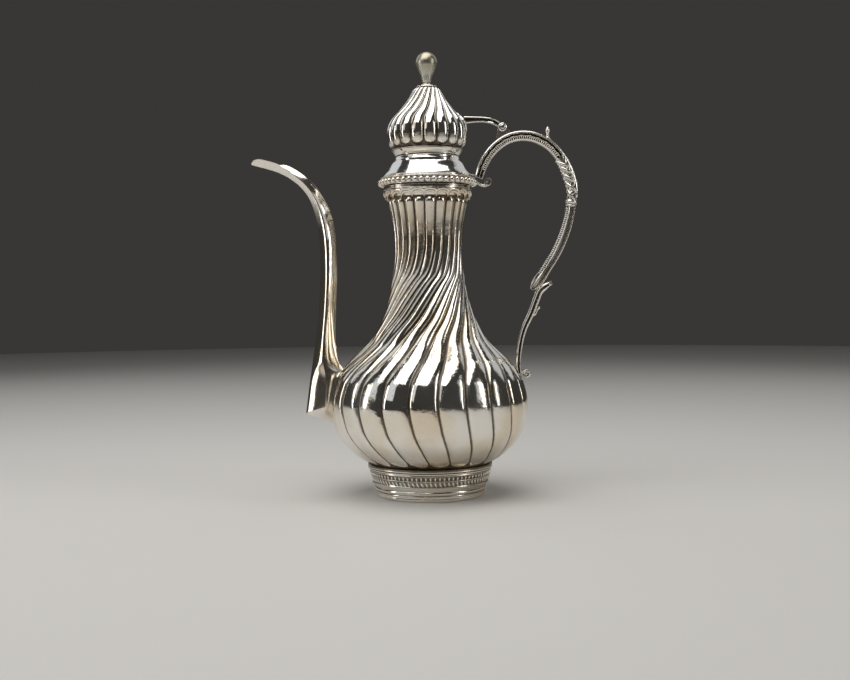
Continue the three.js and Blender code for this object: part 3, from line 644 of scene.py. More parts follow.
def gadroon_tree() -> Tree:
    """Builds the tree that works twisting lobes into a turned blank.

    Returns:
        The tree. It reads each point's relief, twist and crispness, and stores how hollow it becomes.
    """
    t = Tree("gadroons")
    blank = t.input("Blank", "Geometry")
    lobes, middle = t.input("Lobes"), t.input("Axis")
    low, low_reach = t.input("Lobe Foot"), t.input("Foot Reach")
    high, high_reach = t.input("Lobe Head"), t.input("Head Reach")
    uneven = t.input("Unevenness")
    place = t.node("GeometryNodeInputPosition").outputs[0]
    split = t.node("ShaderNodeSeparateXYZ", {0: place}).outputs
    x = t.math("SUBTRACT", split[0], middle)
    angle = t.math("ARCTAN2", split[1], x)
    radius = t.math("SQRT", t.math("ADD", t.math("MULTIPLY", x, x), t.math("MULTIPLY", split[1], split[1])))
    count = t.math("DIVIDE", t.math("MULTIPLY", angle, lobes), 2 * math.pi)
    side = t.math("MULTIPLY", t.math("ABSOLUTE", t.math("SUBTRACT", count, t.math("ROUND", count))), 2.0)
    below = t.math("MAXIMUM", t.math("DIVIDE", t.math("SUBTRACT", low, split[2]), low_reach), 0.0)
    above = t.math("MAXIMUM", t.math("DIVIDE", t.math("SUBTRACT", split[2], high), high_reach), 0.0)
    beyond = t.math("ADD", t.math("MULTIPLY", below, below), t.math("MULTIPLY", above, above))
    square = t.math("ADD", t.math("MULTIPLY", side, side), beyond)
    away = t.math("MINIMUM", t.math("SQRT", square), 1.0)
    broad = t.math("POWER", away, 2.0)
    narrow = t.math("POWER", away, 5.5)
    blend = t.node("ShaderNodeMix", {0: t.attribute("crisp"), 2: broad, 3: narrow},
        data_type="FLOAT").outputs[0]
    relief = t.attribute("relief")
    noise = t.node("ShaderNodeTexNoise", {"Vector": place, "Scale": 42.0, "Detail": 1.0}).outputs[0]
    wander = t.math("MULTIPLY", t.math("SUBTRACT", noise, 0.5), uneven)
    worked = t.math("MULTIPLY", wander, t.math("GREATER_THAN", relief, 0.0))
    out = t.math("ADD", t.math("SUBTRACT", radius, t.math("MULTIPLY", relief, blend)), worked)
    turn = t.math("ADD", angle, t.attribute("twist"))
    moved = t.vector(
        t.math("ADD", t.math("MULTIPLY", out, t.math("COSINE", turn)), middle),
        t.math("MULTIPLY", out, t.math("SINE", turn)),
        split[2],
    )
    brink = t.math("ADD", 0.58, t.math("MULTIPLY", t.attribute("crisp"), 0.24))
    deep = t.node("ShaderNodeMapRange", {0: away, 1: brink, 2: 1.0},
        interpolation_type="SMOOTHSTEP").outputs[0]
    # The grooves are marked hollow, and the finish darkens them: partly oxide, partly painted shade.
    dark = t.math("MULTIPLY", deep, t.math("GREATER_THAN", relief, 0.0))
    kept = t.node("GeometryNodeStoreNamedAttribute", {"Geometry": blank, "Name": "hollow", "Value": dark},
                  data_type="FLOAT", domain="POINT")
    shaped = t.node("GeometryNodeSetPosition", {"Geometry": kept.outputs[0], "Position": moved})
    t.finish(shaped.outputs[0])
    return t


def ring_tree() -> Tree:
    """Builds the tree that sets round beads side by side on a wire ring."""
    t = Tree("beads")
    t.input("Blank", "Geometry")
    count, radius = t.input("Count", "Int"), t.input("Ring Radius")
    bead, wire, centre = t.input("Bead Radius"), t.input("Wire Radius"), t.input("Centre", "Vector")
    ring = t.node("GeometryNodeCurvePrimitiveCircle", {"Resolution": count, "Radius": radius}).outputs[0]
    ball = t.node("GeometryNodeMeshUVSphere", {"Segments": 20, "Rings": 12, "Radius": bead}).outputs[0]
    smooth = t.node("GeometryNodeSetShadeSmooth", {0: ball}).outputs[0]
    beads = t.node("GeometryNodeInstanceOnPoints", {"Points": ring, "Instance": smooth}).outputs[0]
    fine = t.node("GeometryNodeCurvePrimitiveCircle", {"Resolution": 192, "Radius": radius}).outputs[0]
    section = t.node("GeometryNodeCurvePrimitiveCircle", {"Resolution": 8, "Radius": wire}).outputs[0]
    rod = t.node("GeometryNodeCurveToMesh", {"Curve": fine, "Profile Curve": section}).outputs[0]
    both = t.node("GeometryNodeJoinGeometry")
    t.tree.links.new(beads, both.inputs[0])
    t.tree.links.new(rod, both.inputs[0])
    real = t.node("GeometryNodeRealizeInstances", {0: both.outputs[0]}).outputs[0]
    spot = t.node("ShaderNodeSeparateXYZ", {0: t.node("GeometryNodeInputPosition").outputs[0]}).outputs
    share = t.math("DIVIDE", t.math("MULTIPLY", t.math("ARCTAN2", spot[1], spot[0]), count), 2 * math.pi)
    side = t.math("MULTIPLY", t.math("ABSOLUTE", t.math("SUBTRACT", share, t.math("ROUND", share))), 2.0)
    meeting = t.node("ShaderNodeMapRange", {0: side, 1: 0.5, 2: 0.95},
        interpolation_type="SMOOTHSTEP").outputs[0]
    # Where beads meet, the stored hollow darkens the finish: painted shade between the beads, partly oxide.
    marked = t.node("GeometryNodeStoreNamedAttribute", {"Geometry": real, "Name": "hollow", "Value": meeting},
                    data_type="FLOAT", domain="POINT").outputs[0]
    placed = t.node("GeometryNodeTransform", {"Geometry": marked, "Translation": centre})
    t.finish(placed.outputs[0])
    return t


def reed_tree() -> Tree:
    """Builds the tree that stands curved reeds round a band, each a tapering drop."""
    t = Tree("reeds")
    t.input("Blank", "Geometry")
    count, radius, height = t.input("Count", "Int"), t.input("Band Radius"), t.input("Height")
    thick, hook = t.input("Thickness"), t.input("Hook")
    lean, centre = t.input("Lean"), t.input("Centre", "Vector")
    half = t.math("MULTIPLY", height, 0.5)
    stem = t.node("GeometryNodeCurveQuadraticBezier", {
        "Resolution": 10,
        "Start": t.vector(t.math("MULTIPLY", lean, 0.5), 0.0, half),
        "Middle": t.vector(t.math("MULTIPLY", lean, -0.5), 0.0, t.math("MULTIPLY", half, -0.5)),
        "End": t.vector(t.math("MULTIPLY", lean, -0.5), hook, t.math("MULTIPLY", half, -1.0)),
    }).outputs[0]
    along = t.node("GeometryNodeSplineParameter").outputs["Factor"]
    belly = t.math("MULTIPLY", t.math("MULTIPLY", along, t.math("SUBTRACT", 1.0, along)), 4.0)
    swell = t.math("MAXIMUM", t.math("POWER", belly, 0.45), 0.12)
    sized = t.node("GeometryNodeSetCurveRadius", {"Curve": stem, "Radius": swell}).outputs[0]
    section = t.node("GeometryNodeCurvePrimitiveCircle", {"Resolution": 8, "Radius": thick}).outputs[0]
    shape = t.node("GeometryNodeCurveToMesh", {"Curve": sized, "Profile Curve": section, "Fill Caps": True})
    if "Scale" in shape.inputs:
        t.tree.links.new(swell, shape.inputs["Scale"])
    reed = t.node("GeometryNodeSetShadeSmooth", {0: shape.outputs[0]}).outputs[0]
    ring = t.node("GeometryNodeCurvePrimitiveCircle", {"Resolution": count, "Radius": radius}).outputs[0]
    spot = t.node("ShaderNodeSeparateXYZ", {0: t.node("GeometryNodeInputPosition").outputs[0]}).outputs
    facing = t.vector(0.0, 0.0, t.math("ARCTAN2", spot[1], spot[0]))
    reeds = t.node("GeometryNodeInstanceOnPoints",
        {"Points": ring, "Instance": reed, "Rotation": facing}).outputs[0]
    placed = t.node("GeometryNodeTransform", {"Geometry": reeds, "Translation": centre})
    t.finish(placed.outputs[0])
    return t


def tooth_tree() -> Tree:
    """Builds the tree that mills rounded teeth along lines."""
    t = Tree("teeth")
    lines = t.input("Lines", "Geometry")
    pitch, size = t.input("Pitch"), t.input("Tooth", "Vector")
    path = t.node("GeometryNodeMeshToCurve", {0: lines}).outputs[0]
    spots = t.node("GeometryNodeResampleCurve", {"Curve": path, "Length": pitch}, mode="LENGTH").outputs[0]
    ball = t.node("GeometryNodeMeshUVSphere", {"Segments": 10, "Rings": 8, "Radius": 1.0}).outputs[0]
    smooth = t.node("GeometryNodeSetShadeSmooth", {0: ball}).outputs[0]
    heading = t.node("GeometryNodeInputTangent").outputs[0]
    turn = t.node("FunctionNodeAlignRotationToVector", {"Vector": heading}, axis="X",
        pivot_axis="Y").outputs[0]
    teeth = t.node("GeometryNodeInstanceOnPoints",
                   {"Points": spots, "Instance": smooth, "Rotation": turn, "Scale": size}).outputs[0]
    t.finish(teeth)
    return t


# ------------------------------------------------------------------ finishes
class Group:
    """A shader node group with named inputs and outputs."""

    def __init__(self, name: str) -> None:
        """Starts an empty group."""
        self.tree = bpy.data.node_groups.new(name, "ShaderNodeTree")
        self.source = self.tree.nodes.new("NodeGroupInput")
        self.sink = self.tree.nodes.new("NodeGroupOutput")

    def input(self, name: str, kind: str = "Float") -> Socket:
        """Adds an input and gives the socket of its value."""
        self.tree.interface.new_socket(name=name, in_out="INPUT", socket_type=f"NodeSocket{kind}")
        return self.source.outputs[name]

    def output(self, name: str, value: Socket, kind: str = "Float") -> None:
        """Adds an output that gives a socket's value."""
        self.tree.interface.new_socket(name=name, in_out="OUTPUT", socket_type=f"NodeSocket{kind}")
        self.tree.links.new(value, self.sink.inputs[name])

    def node(self, kind: str, values: dict, out: int | str = 0, **settings: object) -> Socket:
        """Adds a node and gives one of its outputs.

        Args:
            kind: Its type.
            values: Sockets to link or set.
            out: The output that is wanted.
            **settings: Its properties.

        Returns:
            That output.
        """
        made = self.tree.nodes.new(kind)
        for key, value in settings.items():
            setattr(made, key, value)
        plug(self.tree, made, values)
        return made.outputs[out]

    def math(self, operation: str, a: Socket | float, b: Socket | float = 0.0) -> Socket:
        """Adds a sum of two numbers, held between 0 and 1."""
        return self.node("ShaderNodeMath", {0: a, 1: b}, operation=operation, use_clamp=True)

    def band(self, value: Socket, low: float, high: float, to_low: float = 0.0,
            to_high: float = 1.0) -> Socket:
        """Maps a range smoothly onto another."""
        values = {"Value": value, "From Min": low, "From Max": high, "To Min": to_low, "To Max": to_high}
        return self.node("ShaderNodeMapRange", values, interpolation_type="SMOOTHSTEP")

    def noise(self, place: Socket, scale: Socket | float, detail: float = 3.0) -> Socket:
        """Adds a noise over a place."""
        return self.node("ShaderNodeTexNoise", {"Vector": place, "Scale": scale, "Detail": detail})

    def stretched(self, place: Socket, by: tuple[float, float, float],
            turn: tuple[float, float, float]) -> Socket:
        """Turns and stretches a place."""
        return self.node("ShaderNodeMapping", {"Vector": place, "Scale": by, "Rotation": turn})

    def mix(self, share: Socket | float, a: Socket, b: Socket) -> Socket:
        """Mixes two colours."""
        return self.node("ShaderNodeMix", {0: share, 6: a, 7: b}, out=2, data_type="RGBA")


def tarnish_and_shade_group() -> Group:
    """Builds the tarnish and painted shade: a warm bloom in patches, and a dark colour in the hollows that is
    partly oxide and partly painted shade.

    Returns:
        The group. It gives a colour and a mask of the dark oxide and painted shade.
    """
    g = Group("tarnish")
    place = g.input("Place", "Vector")
    clean, warm, dark = (g.input(name, "Color") for name in ("Clean", "Warm", "Dark"))
    hollow, bloom, oxide_and_shade = g.input("Hollow"), g.input("Bloom"), g.input("Oxide")
    patches = g.band(g.noise(place, 26.0, 4.0), 0.42, 0.66)
    specks = g.noise(place, 420.0, 4.0)
    tinted = g.mix(g.math("MULTIPLY", patches, bloom), clean, warm)
    edge = g.math("ADD", hollow, g.math("MULTIPLY", g.math("SUBTRACT", specks, 0.42), 0.5))
    # The hollows are darkened here: partly oxide, partly painted shade.
    deep = g.math("MULTIPLY", g.band(edge, 0.25, 0.95), oxide_and_shade)
    flecks = g.math("MULTIPLY", g.band(g.noise(place, 900.0, 2.0), 0.66, 0.74),
        g.math("MULTIPLY", oxide_and_shade, 0.22))
    mask = g.math("MAXIMUM", deep, flecks)
    g.output("Color", g.mix(mask, tinted, dark), "Color")
    g.output("Mask", mask)
    return g


def wear_and_highlight_group() -> Group:
    """Builds the wear that rubs ridges bright; on the spout's mirror finish it paints a pinkish highlight on
    the ridges.

    Returns:
        The group. It gives a colour and a mask of the rubbed and highlighted ridges.
    """
    g = Group("edge_wear")
    place = g.input("Place", "Vector")
    base, bare_and_highlight = g.input("Base", "Color"), g.input("Bare", "Color")
    ridge, amount = g.input("Ridge"), g.input("Amount")
    rough = g.noise(place, 240.0, 3.0)
    edge = g.math("ADD", ridge, g.math("MULTIPLY", g.math("SUBTRACT", rough, 0.5), 0.35))
    mask = g.math("MULTIPLY", g.band(edge, 0.12, 0.6), amount)
    g.output("Color", g.mix(mask, base, bare_and_highlight), "Color")
    g.output("Mask", mask)
    return g


def polish_group() -> Group:
    """Builds the hand polish: soft hammer waves, fine scratches both ways, and small pits.

    Returns:
        The group. It gives a height and a roughness.
    """
    g = Group("hand_polish")
    place = g.input("Place", "Vector")
    waves, scratches, pits = g.input("Waves"), g.input("Scratches"), g.input("Pits")
    smooth, dull = g.input("Roughness"), g.input("Dulling")
    swell = g.noise(place, 70.0, 1.0)
    grain = g.math("MULTIPLY", g.noise(place, 520.0, 4.0), g.band(g.noise(place, 40.0, 4.0), 0.42, 0.60))
    lines = []
    for by, turn in (((1500.0, 1500.0, 60.0), (0.7, 0.3, 0.2)), ((110.0, 1300.0, 1500.0), (0.3, 0.9, 0.7))):
        streak = g.noise(g.stretched(place, by, turn), 1.0, 2.0)
        lines.append(g.band(g.math("ABSOLUTE", g.math("SUBTRACT", streak, 0.5)), 0.0, 0.014, 1.0, 0.0))
    handled = g.band(g.noise(place, 30.0, 3.0), 0.4, 0.65)
    scratch = g.math("MULTIPLY", g.math("MULTIPLY", g.math("MAXIMUM", lines[0], lines[1]), handled),
        scratches)
    cells = g.node("ShaderNodeTexVoronoi", {"Vector": place, "Scale": 620.0}, out="Distance")
    where = g.band(g.noise(place, 55.0, 3.0), 0.5, 0.62)
    pit = g.math("MULTIPLY", g.math("MULTIPLY", g.band(cells, 0.06, 0.3, 1.0, 0.0), where), pits)
    rise = g.math("ADD", g.math("MULTIPLY", swell, waves),
        g.math("MULTIPLY", grain, g.math("MULTIPLY", pits, 1.6)))
    height = g.math("SUBTRACT", rise,
        g.math("MAXIMUM", g.math("MULTIPLY", scratch, 0.02), g.math("MULTIPLY", pit, 0.4)))
    cloud = g.math("MULTIPLY", g.band(g.noise(place, 34.0, 5.0), 0.4, 0.7), dull)
    worn = g.math("ADD", g.math("MULTIPLY", scratch, 0.12), g.math("MULTIPLY", pit, 0.3))
    g.output("Height", g.math("ADD", height, 0.2))
    g.output("Roughness", g.math("ADD", g.math("ADD", smooth, cloud), worn))
    return g


@dataclass(frozen=True)
class Silver:
    """One finish of silver."""

    name: str
    clean: tuple[float, float, float]
    warm: tuple[float, float, float]
    dark: tuple[float, float, float]
    roughness: float
    dulling: float
    bloom: float
    # How dark the hollows grow: partly oxide, partly painted shade.
    oxide_and_shade: float
    wear_and_highlight: float
    waves: float
    scratches: float
    pits: float
    bump: float
    # Colour of rubbed ridges; on the mirror finish, a painted highlight.
    bare_and_highlight: tuple[float, float, float] = (0.92, 0.89, 0.83)

    def build(self, groups: "Groups") -> bpy.types.Material:
        """Builds the finish's material.

        Args:
            groups: The shared effects.

        Returns:
            The material.
        """
        material = bpy.data.materials.new(self.name)
        material.use_nodes = True
        tree = material.node_tree
        shader = next(n for n in tree.nodes if n.type == "BSDF_PRINCIPLED")
        place = tree.nodes.new("ShaderNodeTexCoord").outputs["Object"]
        hollow, ridge = tree.nodes.new("ShaderNodeAttribute"), tree.nodes.new("ShaderNodeAttribute")
        hollow.attribute_name, ridge.attribute_name = "hollow", "ridge"

        def effect(group: Group, values: dict) -> bpy.types.Node:
            """Places a shared effect with this finish's values."""
            made = tree.nodes.new("ShaderNodeGroup")
            made.node_tree = group.tree
            plug(tree, made, {"Place": place, **values})
            return made

        tarnish = effect(groups.tarnish, {
            "Clean": (*self.clean, 1.0), "Warm": (*self.warm, 1.0), "Dark": (*self.dark, 1.0),
            "Hollow": hollow.outputs["Fac"], "Bloom": self.bloom, "Oxide": self.oxide_and_shade,
        })
        wear_and_highlight = effect(groups.wear_and_highlight, {
            "Base": tarnish.outputs["Color"], "Bare": (*self.bare_and_highlight, 1.0),
            "Ridge": ridge.outputs["Fac"], "Amount": self.wear_and_highlight,
        })
        polish = effect(groups.polish, {
            "Waves": self.waves, "Scratches": self.scratches, "Pits": self.pits,
            "Roughness": self.roughness, "Dulling": self.dulling,
        })
        dulled = tree.nodes.new("ShaderNodeMath")
        dulled.operation, dulled.use_clamp = "MULTIPLY_ADD", True
        plug(tree, dulled, {0: tarnish.outputs["Mask"], 1: 0.3, 2: polish.outputs["Roughness"]})
        bump = tree.nodes.new("ShaderNodeBump")
        plug(tree, bump, {"Strength": self.bump, "Distance": 0.0004, "Height": polish.outputs["Height"]})
        plug(tree, shader, {
            "Base Color": wear_and_highlight.outputs["Color"], "Roughness": dulled.outputs[0], "Metallic": 1.0,
            "Normal": bump.outputs["Normal"],
        })
        return material


@dataclass(frozen=True)
class Groups:
    """The effects that the finishes share."""

    tarnish: Group
    wear_and_highlight: Group
    polish: Group


POLISHED = Silver(
    name="polished_silver", clean=(0.91, 0.885, 0.825), warm=(0.82, 0.70, 0.52), dark=(0.095, 0.066, 0.042),
    roughness=0.065, dulling=0.08, bloom=0.75, oxide_and_shade=0.93, wear_and_highlight=0.5, waves=0.55, scratches=0.6, pits=0.6,
    bump=0.4,
)
# The spout's mirror finish: its pinkish bare colour on the ridges is a painted highlight.
MIRROR = replace(POLISHED, name="mirror_silver", waves=0.7, pits=0.12, scratches=0.4, dulling=0.05, wear_and_highlight=0.75,
                 bare_and_highlight=(0.86, 0.60, 0.48))
BRIGHT = Silver(
    name="bright_silver", clean=(0.94, 0.935, 0.92), warm=(0.88, 0.84, 0.76), dark=(0.16, 0.13, 0.11),
    roughness=0.10, dulling=0.06, bloom=0.3, oxide_and_shade=0.7, wear_and_highlight=0.5, waves=0.35, scratches=0.8, pits=0.35,
    bump=0.3,
)
CAST = Silver(
    name="cast_silver", clean=(0.80, 0.77, 0.70), warm=(0.55, 0.45, 0.33), dark=(0.035, 0.027, 0.021),
    roughness=0.17, dulling=0.12, bloom=0.8, oxide_and_shade=1.0, wear_and_highlight=0.95, waves=0.3, scratches=0.5, pits=0.8,
    bump=0.5,
)
SATIN = Silver(
    name="satin_knob_silver", clean=(0.64, 0.63, 0.54), warm=(0.43, 0.39, 0.28), dark=(0.12, 0.10, 0.07),
    roughness=0.30, dulling=0.12, bloom=0.8, oxide_and_shade=0.7, wear_and_highlight=0.4, waves=0.2, scratches=0.8, pits=0.3,
    bump=0.4,
)
OXIDISED = Silver(
    name="oxidised_silver", clean=(0.34, 0.29, 0.23), warm=(0.20, 0.15, 0.10), dark=(0.03, 0.024, 0.018),
    roughness=0.16, dulling=0.10, bloom=0.9, oxide_and_shade=0.9, wear_and_highlight=0.7, waves=0.4, scratches=0.6, pits=0.5,
    bump=0.4,
)


@dataclass(frozen=True)
class Finishes:
    """The materials of the whole pot."""

    polished: bpy.types.Material
    bright: bpy.types.Material
    cast: bpy.types.Material
    satin: bpy.types.Material
    oxidised: bpy.types.Material
    mirror: bpy.types.Material

    @classmethod
    def make(cls) -> "Finishes":
        """Builds every finish with the shared effects."""
        groups = Groups(tarnish_and_shade_group(), wear_and_highlight_group(), polish_group())
        return cls(*(finish.build(groups) for finish in (POLISHED, BRIGHT, CAST, SATIN, OXIDISED, MIRROR)))


# ------------------------------------------------------------------ outlines
UNDER_BELLY = [(0, -0.02), (0.185, 0.4), (0.45, 0.783), (0.66, 0.935), (1, 1)]
SHOULDER = [(0.147, 0.928), (0.214, 0.843), (0.281, 0.71), (0.348, 0.539), (0.41, 0.395), (0.516, 0.244),
            (0.65, 0.12), (0.8, 0.04), (1, 0)]
THROAT = [(0.25, 0.04), (0.5, 0.23), (0.72, 0.51), (1, 1)]
UNDER_BELLY_TURN = [(0, 13.5), (0.294, 7.5), (0.68, 2.3)]
SHOULDER_TURN = [(0.045, 0), (0.16, 1), (0.281, 5.7), (0.446, 16.7), (0.57, 32.3), (0.704, 50), (0.784, 63),
                 (0.86, 77), (0.9375, 84)]
THROAT_TURN = [(0.05, 88), (0.25, 89), (1, 89)]
BULB = [(0, 0), (0.05, 0.34), (0.14, 0.68), (0.23, 0.91), (0.32, 1)]
ONION = [(0.41, 0.98), (0.5, 0.895), (0.585, 0.742), (0.67, 0.545), (0.76, 0.364), (0.85, 0.206),
    (0.94, 0.086), (1, 0)]
DOME_TURN = [(0, 0), (0.5, 0), (0.67, 8), (0.85, 19), (1, 31)]
SKIRT = [(0.1, 0.86), (0.35, 0.56), (0.65, 0.3), (0.86, 0.05), (1, 0)]
LOBE_COLUMNS = (-0.46, -0.41, -0.34, -0.24, -0.12, 0.0, 0.12, 0.24, 0.34, 0.41, 0.46, 0.5)


@dataclass
class Blank:
    """A turned blank for gadrooning: a wall with a bottom or an open foot."""

    name: str
    lobes: int
    rows: list[tuple[float, float, float, float, float]] = field(default_factory=list)

    def row(self, radius: float, height: float, relief: float = 0.0, twist: float = 0.0,
            crisp: float = 1.0) -> None:
        """Adds a row by its radius, height, depth of relief, degrees of twist and crispness."""
        self.rows.append((float(radius), float(height), float(relief), float(twist), float(crisp)))

    def make(self, ring: bool) -> bpy.types.Object:
        """Makes the blank, with its columns gathered towards the grooves.

        Args:
            ring: Whether its last row joins its first.

        Returns:
            The blank, with relief, twist and crispness stored on its points.
        """
        angle = np.array([(k + share) * 2 * math.pi / self.lobes for k in range(self.lobes)
            for share in LOBE_COLUMNS])
        rows, counts = [], []
        for radius, height, *_ in self.rows:
            if radius < 1e-6:
                rows.append(np.array([[0.0, 0.0, height]]))
            else:
                rows.append(np.stack([radius * np.cos(angle), radius * np.sin(angle),
                    np.full(len(angle), height)], axis=1))
            counts.append(len(rows[-1]))
        points, faces = skin(rows, ring)
        made = solid(self.name, points, faces, crisp=180.0)
        values = np.repeat(np.array(self.rows), counts, axis=0)
        store(made, "relief", values[:, 2] * MM)
        store(made, "twist", np.radians(values[:, 3]))
        store(made, "crisp", values[:, 4])
        return made


@dataclass
class Vessel:
    """The raised body: belly and fluted neck in one shell."""

    gadroons: Tree
    lobes: int = 22
    phase: float = 4.3
    belly_rise: float = 44.6
    waist_rise: float = 156.6
    neck_r: float = 25.7
    mouth_r: float = 31.0
    belly_r: float = 73.75
    foot_r: float = 46.8
    belly_depth: float = 2.7
    neck_depth: float = 2.0
    wall: float = 1.0
    uneven: float = 0.16
    bottom: float = field(default_factory=lambda: Box.of("belly_shell").bottom)
    lining_r: float = field(default_factory=lambda: Box.of("mouth_flange").radius - 5.9)
    neck_top: float = field(default_factory=lambda: Box.of("neck_collar").bottom - 0.3)
    rim: float = field(default_factory=lambda: Box.of("neck_tube").top)

    def __post_init__(self) -> None:
        """Works out the outlines."""
        belly, waist = self.bottom + self.belly_rise, self.bottom + self.waist_rise
        self.radius = through([
            *over(UNDER_BELLY, self.bottom, belly, self.foot_r, self.belly_r),
            *over(SHOULDER, belly, waist, self.neck_r, self.belly_r),
            *over(THROAT, waist, self.neck_top, self.neck_r, self.mouth_r),
        ])
        self.twist = through([
            *over(UNDER_BELLY_TURN, self.bottom, belly),
            *over(SHOULDER_TURN, belly, waist),
            *over(THROAT_TURN, waist, self.neck_top),
        ])
        self.depth = through([
            (self.bottom, self.belly_depth * 0.5), (belly, self.belly_depth),
            (belly + 40, self.belly_depth * 1.2),
            (waist, self.neck_depth), (self.neck_top, self.neck_depth),
        ])
        self.crisp = through([(belly - 5, 1.0), (belly + 20, 0.65), (belly + 45, 0.2), (self.neck_top, 0.1)])

    def build(self) -> bpy.types.Object:
        """Builds the shell, closed round its rim and its bottom."""
        blank = Blank("body_shell", self.lobes)
        for radius in (0.0, 12.0, 24.0, 36.0, 42.0, 45.0):
            blank.row(radius, self.bottom + 0.05, 0.0, self.twist(self.bottom) + self.phase)
        heights = np.concatenate([
            np.linspace(self.bottom + 0.3, self.bottom + 9, 14),
            np.arange(self.bottom + 10, self.neck_top, 1.02), [self.neck_top],
        ])
        for z in heights:
            blank.row(self.radius(z), z, self.depth(z), self.twist(z) + self.phase, self.crisp(z))
        last = self.twist(self.neck_top) + self.phase
        blank.row(self.lining_r, self.neck_top + 0.4, 0.0, last)
        blank.row(self.lining_r, self.rim - 0.2, 0.0, last)
        blank.row(self.lining_r - 0.2, self.rim, 0.0, last)
        blank.row(self.lining_r - self.wall, self.rim, 0.0, last)
        for z in np.linspace(self.neck_top, self.bottom + 2, 38):
            inner = self.radius(z) - self.depth(z) - self.wall * 0.7
            blank.row(min(inner, self.lining_r - self.wall), z, 0.0, self.twist(z) + self.phase)
        for radius in (38.0, 20.0, 0.0):
            blank.row(radius, self.bottom + self.wall, 0.0, self.twist(self.bottom) + self.phase)
        return self.gadroons.bake(
            blank.make(ring=False), Lobes=float(self.lobes), Axis=AXIS_X * MM,
                Lobe_Foot=(self.bottom + 6.2) * MM,
            Foot_Reach=5.0 * MM, Lobe_Head=(self.neck_top - 4.5) * MM, Head_Reach=3.6 * MM,
            Unevenness=self.uneven * MM,
        )

    def core(self) -> bpy.types.Object:
        """Gives a solid that lies inside the shell's wall, for trimming what is soldered to it."""
        heights = np.linspace(self.bottom + 1, self.neck_top - 1, 60)
        side = [(float(self.radius(z) - self.depth(z)), float(z)) for z in heights]
        return turned("core", [(0.0, side[0][1]), *side, (0.0, side[-1][1])], around=96)

    def dress(self, finishes: Finishes) -> None:
        """Builds and fits the shell."""
        fit(self.build(), finishes.polished, Body.POT, Slot.SILVER, "belly_shell", "neck_tube")


